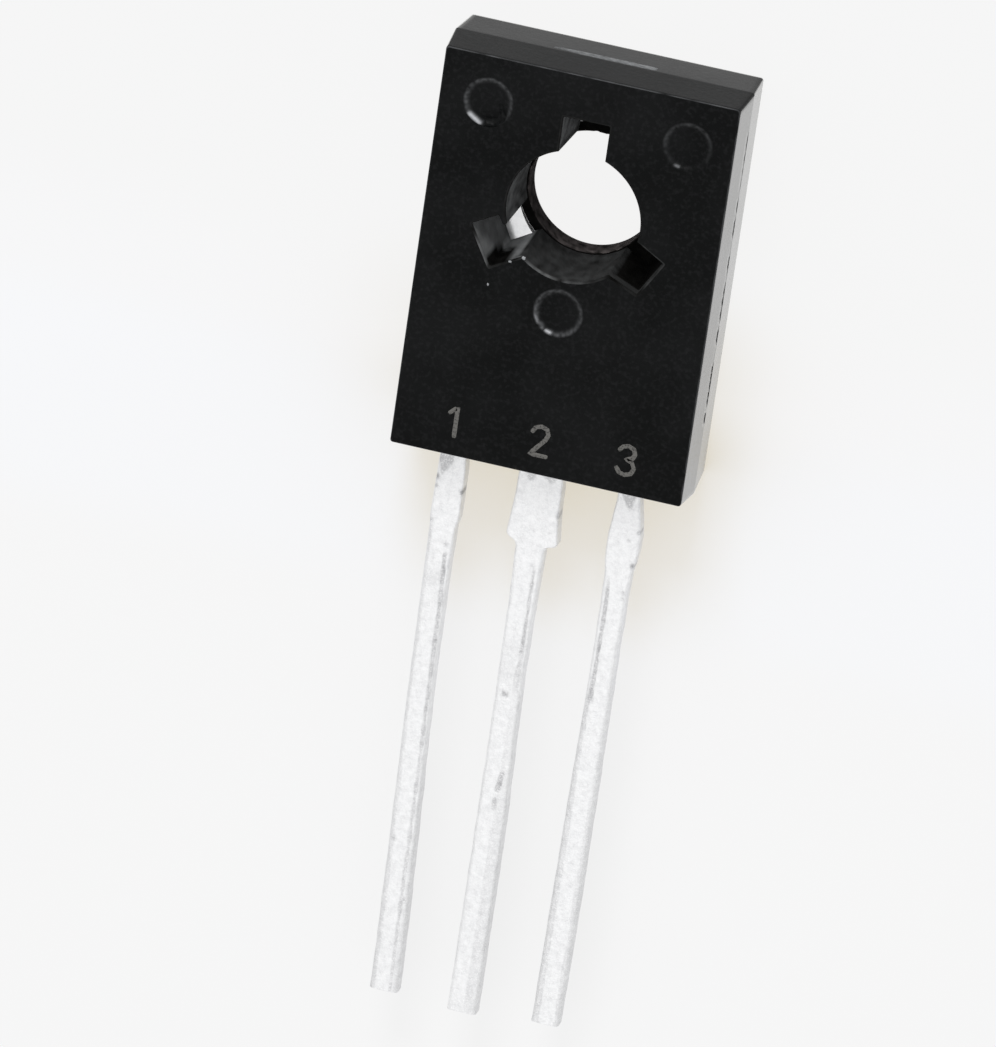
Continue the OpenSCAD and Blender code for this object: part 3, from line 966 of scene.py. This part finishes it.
front_hole = body.ring(rim)
marks = [mark(body, -2.52, 2.5, 0.1, 0.7, 120,
              [((-2.95, 2.09), (-2.68, 1.91), 0.048, 0.85),
               ((-2.2, 2.44), (-2.16, 2.24), 0.06, -0.8)],
              [(-2.75, 2.2), (-2.55, 1.84), (-2.3, 1.86), (-2.02, 2.1), (-2.0, 2.42)]),
         mark(body, 2.6, 2.48, 0.055, 1.0, 105, [((2.36, 1.93), (2.44, 1.91), 0.03, 0.3)]),
         mark(body, -0.01, -2.6, 0.12, 0.5, 190,
              [((-0.25, -3.13), (-0.15, -3.16), 0.03, 0.9),
               ((-0.58, -2.78), (-0.5, -2.95), 0.025, 0.3)])]
print(len(marks), "ejector marks,", len(body.faces), "faces so far")

# %% [markdown]
# ## Closing the body
# The front face is one flat sheet with the hole and the three dents cut out of it. The back
# is a flat frame round the metal pad. Its opening is a hair wider than the pad and its wall
# goes in almost to the step that locks the pad in. Both faces use the points of the rings
# round them, so no gap can open between a face and the sides.

# %% Front face, back face and the finished body
def pad_outline(grow, inset=0.0):
    low = (-PAD_HALF + inset - grow, PAD_BOTTOM + inset - grow)
    high = (PAD_HALF - inset + grow, PAD_TOP - inset + grow)
    return block_outline(low, high, PAD_CORNER - inset + grow, (12, 12), 10)[0]


fill_flat(body, sides[-1], [front_hole] + marks)
opening = [body.level(pad_outline(grow, LOCK_WIDTH), z)
           for z, grow in ((0.0, 0.016), (0.012, 0.006), (LOCK_HEIGHT - 0.02, 0.006))]
body.loft(opening)
fill_flat(body, sides[0], [opening[0]])
piece("body_block", body, EPOXY, ("moulded_body",))

# %% [markdown]
# ## The broken gate and the crumbs of flash
# Resin flowed in through a thin, wide gate on the top face. Snapping it off left a low
# ragged strip. It is a grid of points whose heights are torn by noise and come down to the
# face at the rim. Bumps on the body would leave its outline straight, and here it is torn.
# The crumbs are bits of fin beside the leads and chips by a notch.

# %% Gate scar
GATE_MIDDLE, GATE_WIDTH, GATE_THICKNESS, GATE_HEIGHT = -0.12, 2.95, 0.4, 1.18


def gate_scar(columns=110, lines=14):
    skin, rows = Skin(), []
    for j in range(lines + 1):
        v = j / lines * 2 - 1
        points, wear = [], []
        for i in range(columns + 1):
            u = i / columns * 2 - 1
            x = GATE_MIDDLE + u * GATE_WIDTH / 2
            slim = min(1.0, 0.25 + 1.1 * (u + 1)) * min(1.0, 0.4 + 6 * (1 - u))
            ragged = 0.012 * noise_at(x * 5, v, 3.0)
            z = GATE_HEIGHT + v * (GATE_THICKNESS / 2 * slim + ragged)
            rise = min(1.0, (1 - u) * 14, (1 + u) * 2.5, (1 - abs(v)) * 1.4)
            torn = 0.5 + 0.5 * noise_at(x * 7, z * 16, 8.0)
            face = BODY_TOP - back_draft(min(z, PARTING))
            y = face - 0.012 + rise * (0.02 + 0.012 * torn)
            points.append((x, min(y, GATE_END - 0.002), z))
            wear.append(clamp(1.1 * torn - 0.1 + 0.15 * u) * rise)
        rows.append(skin.ring(points, wear))
    skin.loft(rows, closed=False)
    piece("gate_scar", skin, BROKEN, sharp=60)


gate_scar()

# %% Crumbs of flash
CRUMBS = (((-2.64, -7.05, 1.85), (0.04, 0.05, 0.1), 0.0),
          ((-0.67, -7.05, 1.85), (0.035, 0.05, 0.1), 0.0),
          ((1.9, -7.05, 1.25), (0.04, 0.03, 0.08), 0.0),
          ((-0.64, -7.05, 1.6), (0.05, 0.04, 0.05), 0.0),
          ((-1.07, -1.36, 2.49), (0.05, 0.05, 0.02), 0.9),
          ((-1.4, -1.53, 2.49), (0.045, 0.03, 0.02), 0.8),
          ((-1.87, -2.25, 2.495), (0.03, 0.04, 0.012), 0.9))


def crumbs(around=14, levels=8):
    """Little torn lumps, pressed flat; each crumb has a middle, a half size and a greyness."""
    skin = Skin()
    for number, (middle, half, wear) in enumerate(CRUMBS):
        rings = []
        for k in range(1, levels):
            cv, sv = turn(-90 + 180 * k / levels)
            points = []
            for a in range(around):
                ca, sa = turn(a * 360 / around)
                way = Vector((ca * cv, sa * cv, sv))
                rough = 1 + 0.45 * noise.noise(way * 2.2 + Vector((number * 7.0, 0, 0)))
                points.append([m + w * h * rough for m, w, h in zip(middle, way, half)])
            rings.append(skin.ring(points, wear))
        skin.loft(rings)
        skin.faces += [tuple(rings[0]), tuple(rings[-1])]
    piece("resin_crumbs", skin, BROKEN, sharp=60)


crumbs()

# %% [markdown]
# ## Numbers of the pins
# A bare front says nothing about which lead is which, so plain numbers are printed above the
# leads. A text object could write them, but its edges would be too clean for ink. So each
# stroke is a flat ribbon with round ends, a few thousandths of a millimetre thick, that lies
# on the face. The width wavers, as on a fast printer.

# %% Pin numbers
FIGURES = ([(0.18, 0.78), (0.42, 1.0), (0.42, 0.0)],
           [(0.05, 0.78), (0.14, 0.94), (0.33, 1.0), (0.52, 0.93), (0.58, 0.75), (0.5, 0.56),
            (0.05, 0.0), (0.6, 0.0)],
           [(0.05, 0.82), (0.15, 0.95), (0.33, 1.0), (0.52, 0.92), (0.57, 0.75), (0.5, 0.6),
            (0.3, 0.54), (0.5, 0.47), (0.6, 0.27), (0.52, 0.08), (0.32, 0.0), (0.13, 0.05),
            (0.03, 0.2)])
FIGURE_MIDDLE, FIGURE_PLACES = 0.32, (-2.25, 0.0, 2.25)
INK_LOW, INK_HIGH = BODY_THICKNESS - 0.001, BODY_THICKNESS + 0.0035
ACROSS_STROKE = ((1, INK_LOW), (0.85, INK_HIGH), (-0.85, INK_HIGH), (-1, INK_LOW))


def stroke(skin, path, width):
    """A flat ribbon along a path of (x, y) points, with a round cap at each end."""
    rows, last = [], len(path) - 1
    for k, (x, y) in enumerate(path):
        ahead = Vector(path[min(k + 1, last)]) - Vector(path[max(k - 1, 0)])
        ahead.normalize()
        half = width / 2 * (1 + 0.18 * noise_at(x * 4, y * 4, 9.0))
        caps = [(-0.7, 0.6)] if k == 0 else []
        caps += [(0, 1), (0.7, 0.6)] if k == last else [(0, 1)]
        for along, share in caps:
            cx, cy = x + ahead.x * along * half, y + ahead.y * along * half
            nx, ny = -ahead.y * half * share, ahead.x * half * share
            rows.append(skin.ring([(cx + nx * t, cy + ny * t, z) for t, z in ACROSS_STROKE]))
    skin.loft(rows, closed=False)


def pin_numbers(height=0.78, base=-6.45, width=0.115):
    skin = Skin()
    for path, x in zip(FIGURES, FIGURE_PLACES):
        dense = []
        for (ax, ay), (bx, by) in zip(path, path[1:]):
            dense += [(ax + (bx - ax) * t / 5, ay + (by - ay) * t / 5) for t in range(5)]
        dense.append(path[-1])
        stroke(skin, [(x + (px - FIGURE_MIDDLE) * height, base + py * height)
                      for px, py in dense], width)
    piece("pin_numbers", skin, INK, sharp=60)


pin_numbers()

# %% [markdown]
# ## The heat-spreader pad
# The pad is the metal plate behind the chip. Its back is the mounting face, and a coined
# step all round locks it into the resin. Its bright front shows at the bottom of a notch.
# It is a stack of rings from the back to the front, closed by two flat fills, because the
# coined step and the blunt edges are then just a few more rings.

# %% Pad
def heat_spreader():
    skin, front = Skin(), PAD_THICKNESS
    profile = ((0.0, LOCK_WIDTH, -0.02), (0.006, LOCK_WIDTH, -0.006), (0.02, LOCK_WIDTH, 0.0),
               (LOCK_HEIGHT, LOCK_WIDTH, 0.0), (LOCK_HEIGHT, 0.0, -0.01),
               (LOCK_HEIGHT + 0.02, 0.0, 0.0), (front - 0.04, 0.0, 0.0),
               (front - 0.01, 0.0, -0.012), (front, 0.0, -0.04))
    rings = [skin.level(pad_outline(grow, inset), z, 0.1) for z, inset, grow in profile]
    skin.loft(rings)
    holes = []
    for radius, z in ((PAD_HOLE + 0.02, 0.0), (PAD_HOLE, 0.02), (PAD_HOLE, front - 0.02),
                      (PAD_HOLE + 0.02, front)):
        circle = [turn(a * 3) for a in range(120)]
        holes.append(skin.level([(radius * c, radius * s) for c, s in circle], z))
    skin.loft(holes)
    fill_flat(skin, rings[0], [holes[0]])
    fill_flat(skin, rings[-1], [holes[-1]])
    piece("heat_spreader", skin, TIN, ("collector_frame",))


heat_spreader()

# %% [markdown]
# The rib of the mould that made the lower left notch pressed on the pad and pushed a patch
# of it a little askew. A smooth spot painted on the pad wouldn't lean, and only the lean
# makes it mirror the bright sky. So it is a piece by itself, one flat lid on a low rim.

# %% Pressed spot of the pad
SPOT_HALF, SPOT_END, SPOT_LEAN, HINGE = 0.52, 2.37, 0.17, -0.35


def pressed_spot(steps=20):
    skin, outline = Skin(), []
    for k in range(2 * steps + 1):
        across = SPOT_HALF - 2 * SPOT_HALF * min(k, 2 * steps - k) / steps
        bore = math.sqrt((PAD_HOLE + 0.012) ** 2 - across ** 2)
        outline.append(from_notch(1, bore if k <= steps else SPOT_END, across))
    below = skin.level(outline, PAD_THICKNESS - 0.02)
    above = skin.ring([(x, y, PAD_THICKNESS + 0.01 - SPOT_LEAN * (y - HINGE))
                       for x, y in outline])
    skin.band(below, above)
    skin.lid(above)
    piece("pressed_spot", skin, PRESSED_TIN, ("collector_frame",), sharp=30)


pressed_spot()

# %% [markdown]
# ## The leads
# A lead is stamped from copper strip and dipped in tin, so its edges are rounded, its top
# is slightly crowned, and the tin lies in low lumps. One cross-section is drawn for each
# step along the lead, and all of them are lofted. A curve with a bevel would be simpler, but
# couldn't change its left and its right side apart. The width is read from a short table of
# (y, left, right), which also holds the bent tip.

# %% Reading a table along a lead
def between(table, y):
    """The row of a table at y, found by straight lines between its rows; y falls."""
    for first, second in zip(table, table[1:]):
        if second[0] <= y <= first[0]:
            t = (first[0] - y) / (first[0] - second[0])
            return [a + (b - a) * t for a, b in zip(first[1:], second[1:])]
    return list(table[-1][1:] if y < table[-1][0] else table[0][1:])


print("halfway between two rows:", between([(0.0, 1.0), (-2.0, 3.0)], -1.0))

# %% Cross-section of a lead
CROWN = 0.01


def section(left, right, low, high, corner):
    """Points (x, z) round a lead's cross-section: a crowned top and rounded corners."""
    x0, x1, z0, z1 = left + corner, right - corner, low + corner, high - corner
    wide, tall = right - left - 2 * corner, high - low - 2 * corner
    points = [(x0 + wide * u, high - CROWN * (2 * u - 1) ** 2)
              for u in (k / 28 for k in range(29))]

    def bend(x, z, start, drop=0.0):
        for c, s in (turn(start - 15 * k) for k in range(1, 6)):
            points.append((x + corner * c, z + corner * s - drop))

    bend(x1, z1, 90, CROWN)
    points += [(right, z1 - tall * k / 4) for k in range(5)]
    bend(x1, z0, 0)
    points += [(x1 - wide * k / 8, low) for k in range(9)]
    bend(x0, z0, 270)
    points += [(left, z0 + tall * k / 4) for k in range(5)]
    bend(x0, z1, 180, CROWN)
    return points


print("cross-section of", len(section(-0.4, 0.4, LEAD_LOW, LEAD_HIGH, 0.1)), "points")

# %% [markdown]
# The tin's lumps come from noise. Pits, as (x, y, radius, depth, greyness), are single
# places where the tin drew back: the point sinks and turns grey. Beside the body are dull
# grey patches with slanting edges. Bands are tables of (y, from, to, greyness) along the
# lead, and their grey is painted shade. A narrow one is a crease: it sinks a little and is
# painted dark as shade. Broad ones paint the shade of the rounded sides and, along the right
# edges, the lead's shadow on the sheet. All this is kept on the mesh, because a material
# can't know where a crease runs.

# %% Tone of the tin
SHOULDER_END, CREASE_WIDTH = -9.4, 0.15


def lumps(x, y, seed):
    """Height of the tin's lumps, larger on the wide shoulder than on the long thin part."""
    share = 1.0 if y > SHOULDER_END else 0.6
    return share * (0.009 * noise_at(x * 4, y * 2.4, seed)
                    + 0.006 * noise_at(x * 11, y * 7, seed + 3))


def tin_tone(x, y, pits, grey_patches, shade_bands, seed):
    """Greyness of the tin at a place, partly painted shade, and how far it sinks there."""
    tone = (0.02 + 0.12 * noise_at(x * 6, y * 4, seed)
            + 0.14 * max(0.0, noise_at(x * 17, y * 14, seed)))
    sink, blot = 0.0, noise_at(x * 14, y * 9, seed + 2)
    for px, py, radius, depth, grey in pits:
        near = math.exp(-((x - px) ** 2 + (y - py) ** 2) / (radius * (1 + 0.5 * blot)) ** 2)
        tone, sink = max(tone, near * grey), max(sink, near * depth)
    for outline, grey in grey_patches:
        soft = clamp(inside(x, y, outline) * 14 + 0.3 * blot)
        tone = max(tone, grey * soft * (1 + 0.25 * blot))
    # Painted shade: each band darkens the tin along the lead; a narrow one also sinks.
    for table in shade_bands:
        if table[0][0] >= y >= table[-1][0]:
            start, finish, grey = between(table, y)
            crease = finish - start < CREASE_WIDTH
            wobble = 0.03 * noise_at(x, y * 3, seed + 5)
            soft = clamp((min(x - start, finish - x) + wobble) * 30 + 0.5)
            mottle = 0.9 + 0.5 * blot + 0.4 * noise_at(x * 5, y * 5, seed + 6)
            tone = max(tone, (0.95 if crease else 0.62) * grey * soft * mottle)
            sink = max(sink, 0.02 * grey * soft if crease else 0.0)
    return tone, sink


print("greyness of plain tin:", round(tin_tone(0.0, -8.0, [], [], [], 1.0)[0], 3))

# %% Lofting a lead
LONG_STEP, SHORT_STEP, SHORT_FROM, SHORT_TO = 0.05, 0.03, -9.7, -6.9


def lead(name, node, seed, widths, heights, pits, grey_patches, shade_bands):
    skin, rings, y, tip = Skin(), [], widths[0][0], widths[-1][0]
    while y > tip:
        (left, right), (low, high) = between(widths, y), between(heights, y)
        corner = 0.07 + 0.05 * clamp(-9.3 - y)
        wander, stray = (0.016 * noise_at(y * 1.6, seed, n) for n in (7.0, 9.0))
        points, wear = [], []
        for x, z in section(left + wander, right + stray, low, high, corner):
            grey, sink = tin_tone(x, y, pits, grey_patches, shade_bands, seed)
            top = z > (low + high) / 2
            lift = lumps(x, y, seed) - sink if top else -0.4 * lumps(x, y, seed + 9)
            points.append((x, y, z + lift))
            wear.append(clamp(grey) if z > low + 0.1 else 0.0)
        rings.append(skin.ring(points, wear))
        y -= SHORT_STEP if SHORT_FROM < y < SHORT_TO else LONG_STEP
    end = [Vector((skin.points[n].x, tip, skin.points[n].z)) for n in rings[-1]]
    middle = Vector((sum(widths[-1][1:]) / 2, tip, (LEAD_LOW + LEAD_HIGH) / 2))
    rings.append(skin.ring(end, 0.2))
    skin.loft(rings)
    cap = skin.ring([point.lerp(middle, 0.12) for point in end], 0.4)
    skin.band(rings[-1], cap)
    skin.faces += [tuple(cap), tuple(rings[0])]
    piece(name, skin, TIN, (node,), sharp=55)


print("a step along a lead is", LONG_STEP, "mm, and", SHORT_STEP, "mm on its shoulder")

# %% [markdown]
# The three leads share that loft and differ only in their tables. The centre lead comes up
# from the pad over a sloping web inside the resin and has a square shoulder. The outer leads
# start as wide bond posts inside the resin, and each has its own shoulder.

# %% The centre lead
lead("collector_lead", "collector_frame", 1.0,
     widths=[(-5.0, -0.57, 0.57), (-7.3, -0.59, 0.56), (-8.0, -0.61, 0.57),
             (-8.9, -0.68, 0.62), (-9.06, -0.69, 0.64), (-9.14, -0.64, 0.65),
             (-9.2, -0.53, 0.6), (-9.26, -0.44, 0.4), (-9.36, -0.41, 0.34),
             (-11.0, -0.39, 0.3), (-13.0, -0.38, 0.28), (-15.0, -0.38, 0.31),
             (-17.0, -0.39, 0.36), (-22.3, -0.42, 0.35)],
     heights=[(-5.0, 0.31, 0.59), (-5.25, 0.31, 0.62), (-5.8, 0.89, 1.31),
              (-6.1, LEAD_LOW, LEAD_HIGH), (-22.3, LEAD_LOW, LEAD_HIGH)],
     pits=[(-0.12, -13.42, 0.09, 0.03, 0.8), (0.65, -8.32, 0.1, 0.05, 1.0),
           (0.02, -8.87, 0.05, 0.01, 0.35), (-0.27, -9.2, 0.09, 0.01, 0.22),
           (0.42, -8.85, 0.05, 0.01, 0.3), (0.1, -9.8, 0.06, 0.01, 0.3)],
     grey_patches=[([(-0.5, -7.0), (-0.48, -7.3), (-0.4, -7.45), (-0.3, -7.62), (-0.12, -7.5),
                (-0.05, -7.0)], 0.4),
              ([(-0.05, -7.0), (0.0, -7.4), (0.12, -7.48), (0.25, -7.58), (0.42, -7.45),
                (0.44, -7.0)], 0.4)],
     shade_bands=[[(-9.8, 0.12, 0.2, 0.0), (-9.95, 0.12, 0.2, 0.5), (-11.9, 0.11, 0.2, 0.65),
             (-12.4, 0.08, 0.22, 0.45), (-13.2, 0.05, 0.2, 0.4), (-13.5, 0.05, 0.34, 0.2),
             (-15.5, 0.06, 0.5, 0.24), (-17.0, 0.04, 0.5, 0.32), (-22.3, 0.01, 0.5, 0.36)],
            [(-11.7, -0.3, 0.08, 0.0), (-12.1, -0.3, 0.08, 0.2), (-12.9, -0.3, 0.08, 0.22),
             (-13.2, -0.3, 0.08, 0.0)],
            [(-15.45, 0.08, 0.16, 0.0), (-15.55, 0.06, 0.18, 0.65),
             (-16.05, -0.02, 0.12, 0.65), (-16.12, -0.02, 0.1, 0.0)],
            [(-16.2, -0.04, 0.04, 0.0), (-16.28, -0.04, 0.08, 0.55),
             (-16.55, -0.02, 0.1, 0.5), (-16.7, 0.0, 0.1, 0.0)]])

# %% The left lead
LEVEL = [(0.0, LEAD_LOW, LEAD_HIGH)]
lead("emitter_lead_tinned", "emitter_lead", 2.0,
     widths=[(-5.46, -2.95, -1.55), (-6.53, -2.95, -1.55), (-6.57, -2.64, -1.94),
             (-7.3, -2.65, -1.96), (-8.2, -2.67, -1.93), (-8.9, -2.68, -1.93),
             (-9.1, -2.68, -1.94), (-9.3, -2.66, -1.99), (-11.0, -2.65, -2.0),
             (-13.0, -2.63, -1.99), (-15.0, -2.6, -1.95), (-17.5, -2.55, -1.86),
             (-20.0, -2.51, -1.78), (-22.2, -2.48, -1.74)],
     heights=LEVEL,
     pits=[(-1.92, -8.28, 0.09, 0.03, 0.9), (-2.17, -9.75, 0.07, 0.01, 0.5),
           (-2.66, -8.0, 0.09, 0.03, 0.85), (-2.62, -8.25, 0.07, 0.02, 0.5),
           (-2.63, -9.2, 0.06, 0.02, 0.55), (-2.42, -18.0, 0.07, 0.02, 0.6),
           (-1.92, -19.6, 0.1, 0.01, 0.5)],
     grey_patches=[([(-2.68, -7.0), (-2.66, -7.62), (-2.56, -7.92), (-2.48, -7.95),
                (-2.24, -7.55), (-2.18, -7.0)], 0.55)],
     shade_bands=[[(-8.6, -2.7, -2.6, 0.0), (-9.5, -2.7, -2.57, 0.3), (-10.9, -2.7, -2.52, 0.3),
             (-14.0, -2.7, -2.5, 0.34), (-17.0, -2.7, -2.42, 0.36),
             (-19.0, -2.7, -2.37, 0.4), (-22.2, -2.7, -2.33, 0.5)],
            [(-9.9, -2.2, -2.1, 0.0), (-10.1, -2.21, -2.1, 0.65), (-11.4, -2.15, -2.05, 0.6),
             (-12.4, -2.14, -2.04, 0.6), (-14.3, -2.11, -2.02, 0.55),
             (-16.0, -2.07, -1.98, 0.45), (-19.5, -2.04, -1.94, 0.45),
             (-22.2, -1.98, -1.9, 0.4)],
            [(-10.42, -2.5, -2.12, 0.0), (-10.55, -2.5, -2.12, 0.3),
             (-10.85, -2.52, -2.12, 0.34), (-11.0, -2.5, -2.1, 0.0)],
            [(-13.5, -1.98, -1.6, 0.0), (-16.0, -1.96, -1.6, 0.25),
             (-19.0, -1.93, -1.6, 0.38), (-22.2, -1.88, -1.6, 0.4)]])

# %% The right lead
lead("base_lead_tinned", "base_lead", 3.0,
     widths=[(-5.46, 1.55, 2.95), (-6.53, 1.55, 2.95), (-6.57, 1.94, 2.56),
             (-7.2, 1.98, 2.53), (-7.5, 1.98, 2.57), (-8.0, 1.93, 2.66), (-8.5, 1.88, 2.71),
             (-8.9, 1.88, 2.71), (-9.2, 1.9, 2.67), (-9.5, 1.93, 2.61), (-11.0, 1.94, 2.58),
             (-13.0, 1.92, 2.57), (-15.0, 1.88, 2.57), (-19.0, 1.82, 2.55),
             (-22.1, 1.78, 2.5)],
     heights=LEVEL,
     pits=[(2.62, -9.24, 0.07, 0.03, 0.95), (2.45, -8.55, 0.05, 0.01, 0.45),
           (2.66, -8.3, 0.06, 0.02, 0.7), (2.5, -10.0, 0.05, 0.02, 0.5),
           (2.49, -10.15, 0.05, 0.02, 0.5), (2.05, -13.0, 0.1, 0.02, 0.6)],
     grey_patches=[([(2.04, -7.0), (2.06, -7.45), (2.2, -7.62), (2.33, -7.84), (2.42, -7.7),
                (2.5, -7.4), (2.5, -7.0)], 0.5)],
     shade_bands=[[(-9.6, 2.02, 2.1, 0.0), (-9.85, 2.04, 2.14, 0.55), (-10.5, 2.05, 2.15, 0.65),
             (-12.5, 2.02, 2.12, 0.65), (-13.05, 1.99, 2.12, 0.7), (-13.2, 1.96, 2.06, 0.4),
             (-15.0, 1.8, 2.04, 0.42), (-17.0, 1.7, 2.04, 0.46), (-22.1, 1.7, 1.98, 0.48)],
            [(-9.9, 2.47, 2.7, 0.0), (-12.0, 2.47, 2.7, 0.2), (-15.0, 2.44, 2.7, 0.3),
             (-19.0, 2.4, 2.7, 0.38), (-22.1, 2.36, 2.7, 0.42)]])

# %% [markdown]
# ## What is buried in the resin
# The chip, its solder and the two bond wires can't be seen, but they are part of the real
# thing, so they are kept as the CAD gives them and only get their finishes.

# %% Finishes of the buried parts
for name, material in (("chip", SILICON), ("chip_solder", SOLDER), ("emitter_wire", WIRE),
                       ("base_wire", WIRE)):
    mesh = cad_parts[name].data
    mesh.materials.clear()
    mesh.materials.append(material)
    print(name, "gets", material.name)

# %% [markdown]
# ## The table and the light
# The part lies on a pale sheet with a painted glow. The glow is warm and the sheet itself a
# little cool, so together they are white, and only where the part keeps the daylight off the
# sheet does the warm glow show through in a faint shadow: a painted warm tint. It is warmest
# between the upper halves of the leads. Beside the upper half of the body the glow is so
# strong, and the sheet so dark, that the shadow is painted away. The glow is seen by the
# camera and in mirrors, but Light Path keeps it from shining on the part.

# %% Sheet
FAR_LEADS, SHEET_HALF, SHEET_Z = -16.0 * MM, 3.0, -0.01 * MM
# Both tables change along y: the sheet's own colour under the lamps, then its painted glow,
# which paints a warm tint into the shadow between the leads and paints the shadow away beside
# the body's upper half.
PAPER = [(0.0, (0.15, 0.15, 0.155)), (0.2, (0.15, 0.152, 0.16)), (0.35, (0.31, 0.385, 0.54)),
         (0.57, (0.31, 0.39, 0.56)), (0.7, (0.16, 0.195, 0.27)), (0.91, (0.03, 0.035, 0.04))]
PAINTED_GLOW = [(0.0, (0.755, 0.755, 0.75)), (0.2, (0.755, 0.752, 0.744)),
        (0.35, (0.575, 0.495, 0.33)), (0.57, (0.575, 0.49, 0.31)),
        (0.7, (0.745, 0.705, 0.625)), (0.91, (0.885, 0.88, 0.875))]


def one_axis(tree, source, name):
    """The x, y or z of a place or a way."""
    split = add(tree, "ShaderNodeSeparateXYZ")
    join(tree, (source, split.inputs[0]))
    return split.outputs[name]


def sheet_material():
    material = bpy.data.materials.new("pale_sheet")
    tree = empty_tree(material)
    far = spread(tree, one_axis(tree, place(tree), "Y"), 0.0, 1.0, FAR_LEADS, 0.0)
    path = add(tree, "ShaderNodeLightPath").outputs
    direct = combine(tree, "MAXIMUM", path["Is Camera Ray"], path["Is Glossy Ray"])
    seen = combine(tree, "MAXIMUM", direct, path["Is Transmission Ray"])
    matte, shown = add(tree, "ShaderNodeBsdfDiffuse"), add(tree, "ShaderNodeEmission")
    both = add(tree, "ShaderNodeAddShader")
    feed(tree, matte, {"Color": ramp(tree, far, PAPER, "EASE")})
    feed(tree, shown, {"Color": ramp(tree, far, PAINTED_GLOW, "EASE"), "Strength": seen})
    join(tree, (matte.outputs[0], both.inputs[0]), (shown.outputs[0], both.inputs[1]))
    feed(tree, add(tree, "ShaderNodeOutputMaterial"), {"Surface": both.outputs[0]})
    return material


sheet_mesh = bpy.data.meshes.new("sheet")
sheet_corners = [(x * SHEET_HALF, y * SHEET_HALF, SHEET_Z)
                 for x, y in ((-1, -1), (1, -1), (1, 1), (-1, 1))]
sheet_mesh.from_pydata(sheet_corners, [], [(0, 1, 2, 3)])
sheet_mesh.materials.append(sheet_material())
floor = put("sheet", sheet_mesh)
floor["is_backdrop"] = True
print("sheet laid just under z = 0")

# %% [markdown]
# The light is a bright sky that is a little darker low down, like a room round a light tent.
# The tin's rounded edges mirror that ring as faint grey lines. A room full of real lamps
# would do the same, but a few grey bands are enough for matte tin. One broad soft lamp from
# beyond the top edge gives the shadow its side.

# %% Sky
SKY = [(0.0, 0.82), (0.3, 0.68), (0.5, 0.82), (0.75, (0.96, 0.96, 0.965)),
       (1.0, (0.97, 0.97, 0.975))]
BACKDROP = (0.925, 0.925, 0.925)


def sky():
    world = bpy.data.worlds.new("light_tent")
    bpy.context.scene.world = world
    tree = empty_tree(world)
    tone = ramp(tree, one_axis(tree, place(tree, "Generated"), "Z"), SKY)
    seen = add(tree, "ShaderNodeLightPath").outputs["Is Camera Ray"]
    light = add(tree, "ShaderNodeBackground", {"Strength": 1.0})
    feed(tree, light, {"Color": mix(tree, seen, tone, BACKDROP)})
    feed(tree, add(tree, "ShaderNodeOutputWorld"), {"Surface": light.outputs[0]})
    print("sky", world.name, "with", len(tree.nodes), "nodes")


sky()

# %% Lamp
def lamp(name, way, distance, size, energy):
    """A square white lamp that faces the part from the way given."""
    data = bpy.data.lights.new(name, "AREA")
    data.shape, data.size, data.energy = "SQUARE", size, energy
    made = put(name, data)
    made.location = Vector(way).normalized() * distance
    made.rotation_euler = made.location.to_track_quat("Z", "Y").to_euler()
    print("lamp", name, "at", [round(v, 3) for v in made.location])


lamp("window", (-0.12, 0.85, 0.55), 0.5, 0.2, 1.3)

# %% [markdown]
# ## Sizes at the end
# The dressed part may not outgrow its drawing, so both boxes are printed side by side.

# %% Sizes of the drawing and of the dressed part
new_low, new_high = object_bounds()
for axis, *ends in zip("xyz", cad_low, cad_high, new_low, new_high):
    a, b, c, d = (round(v / MM, 3) for v in ends)
    print(axis, "drawing", a, b, "dressed", c, d)
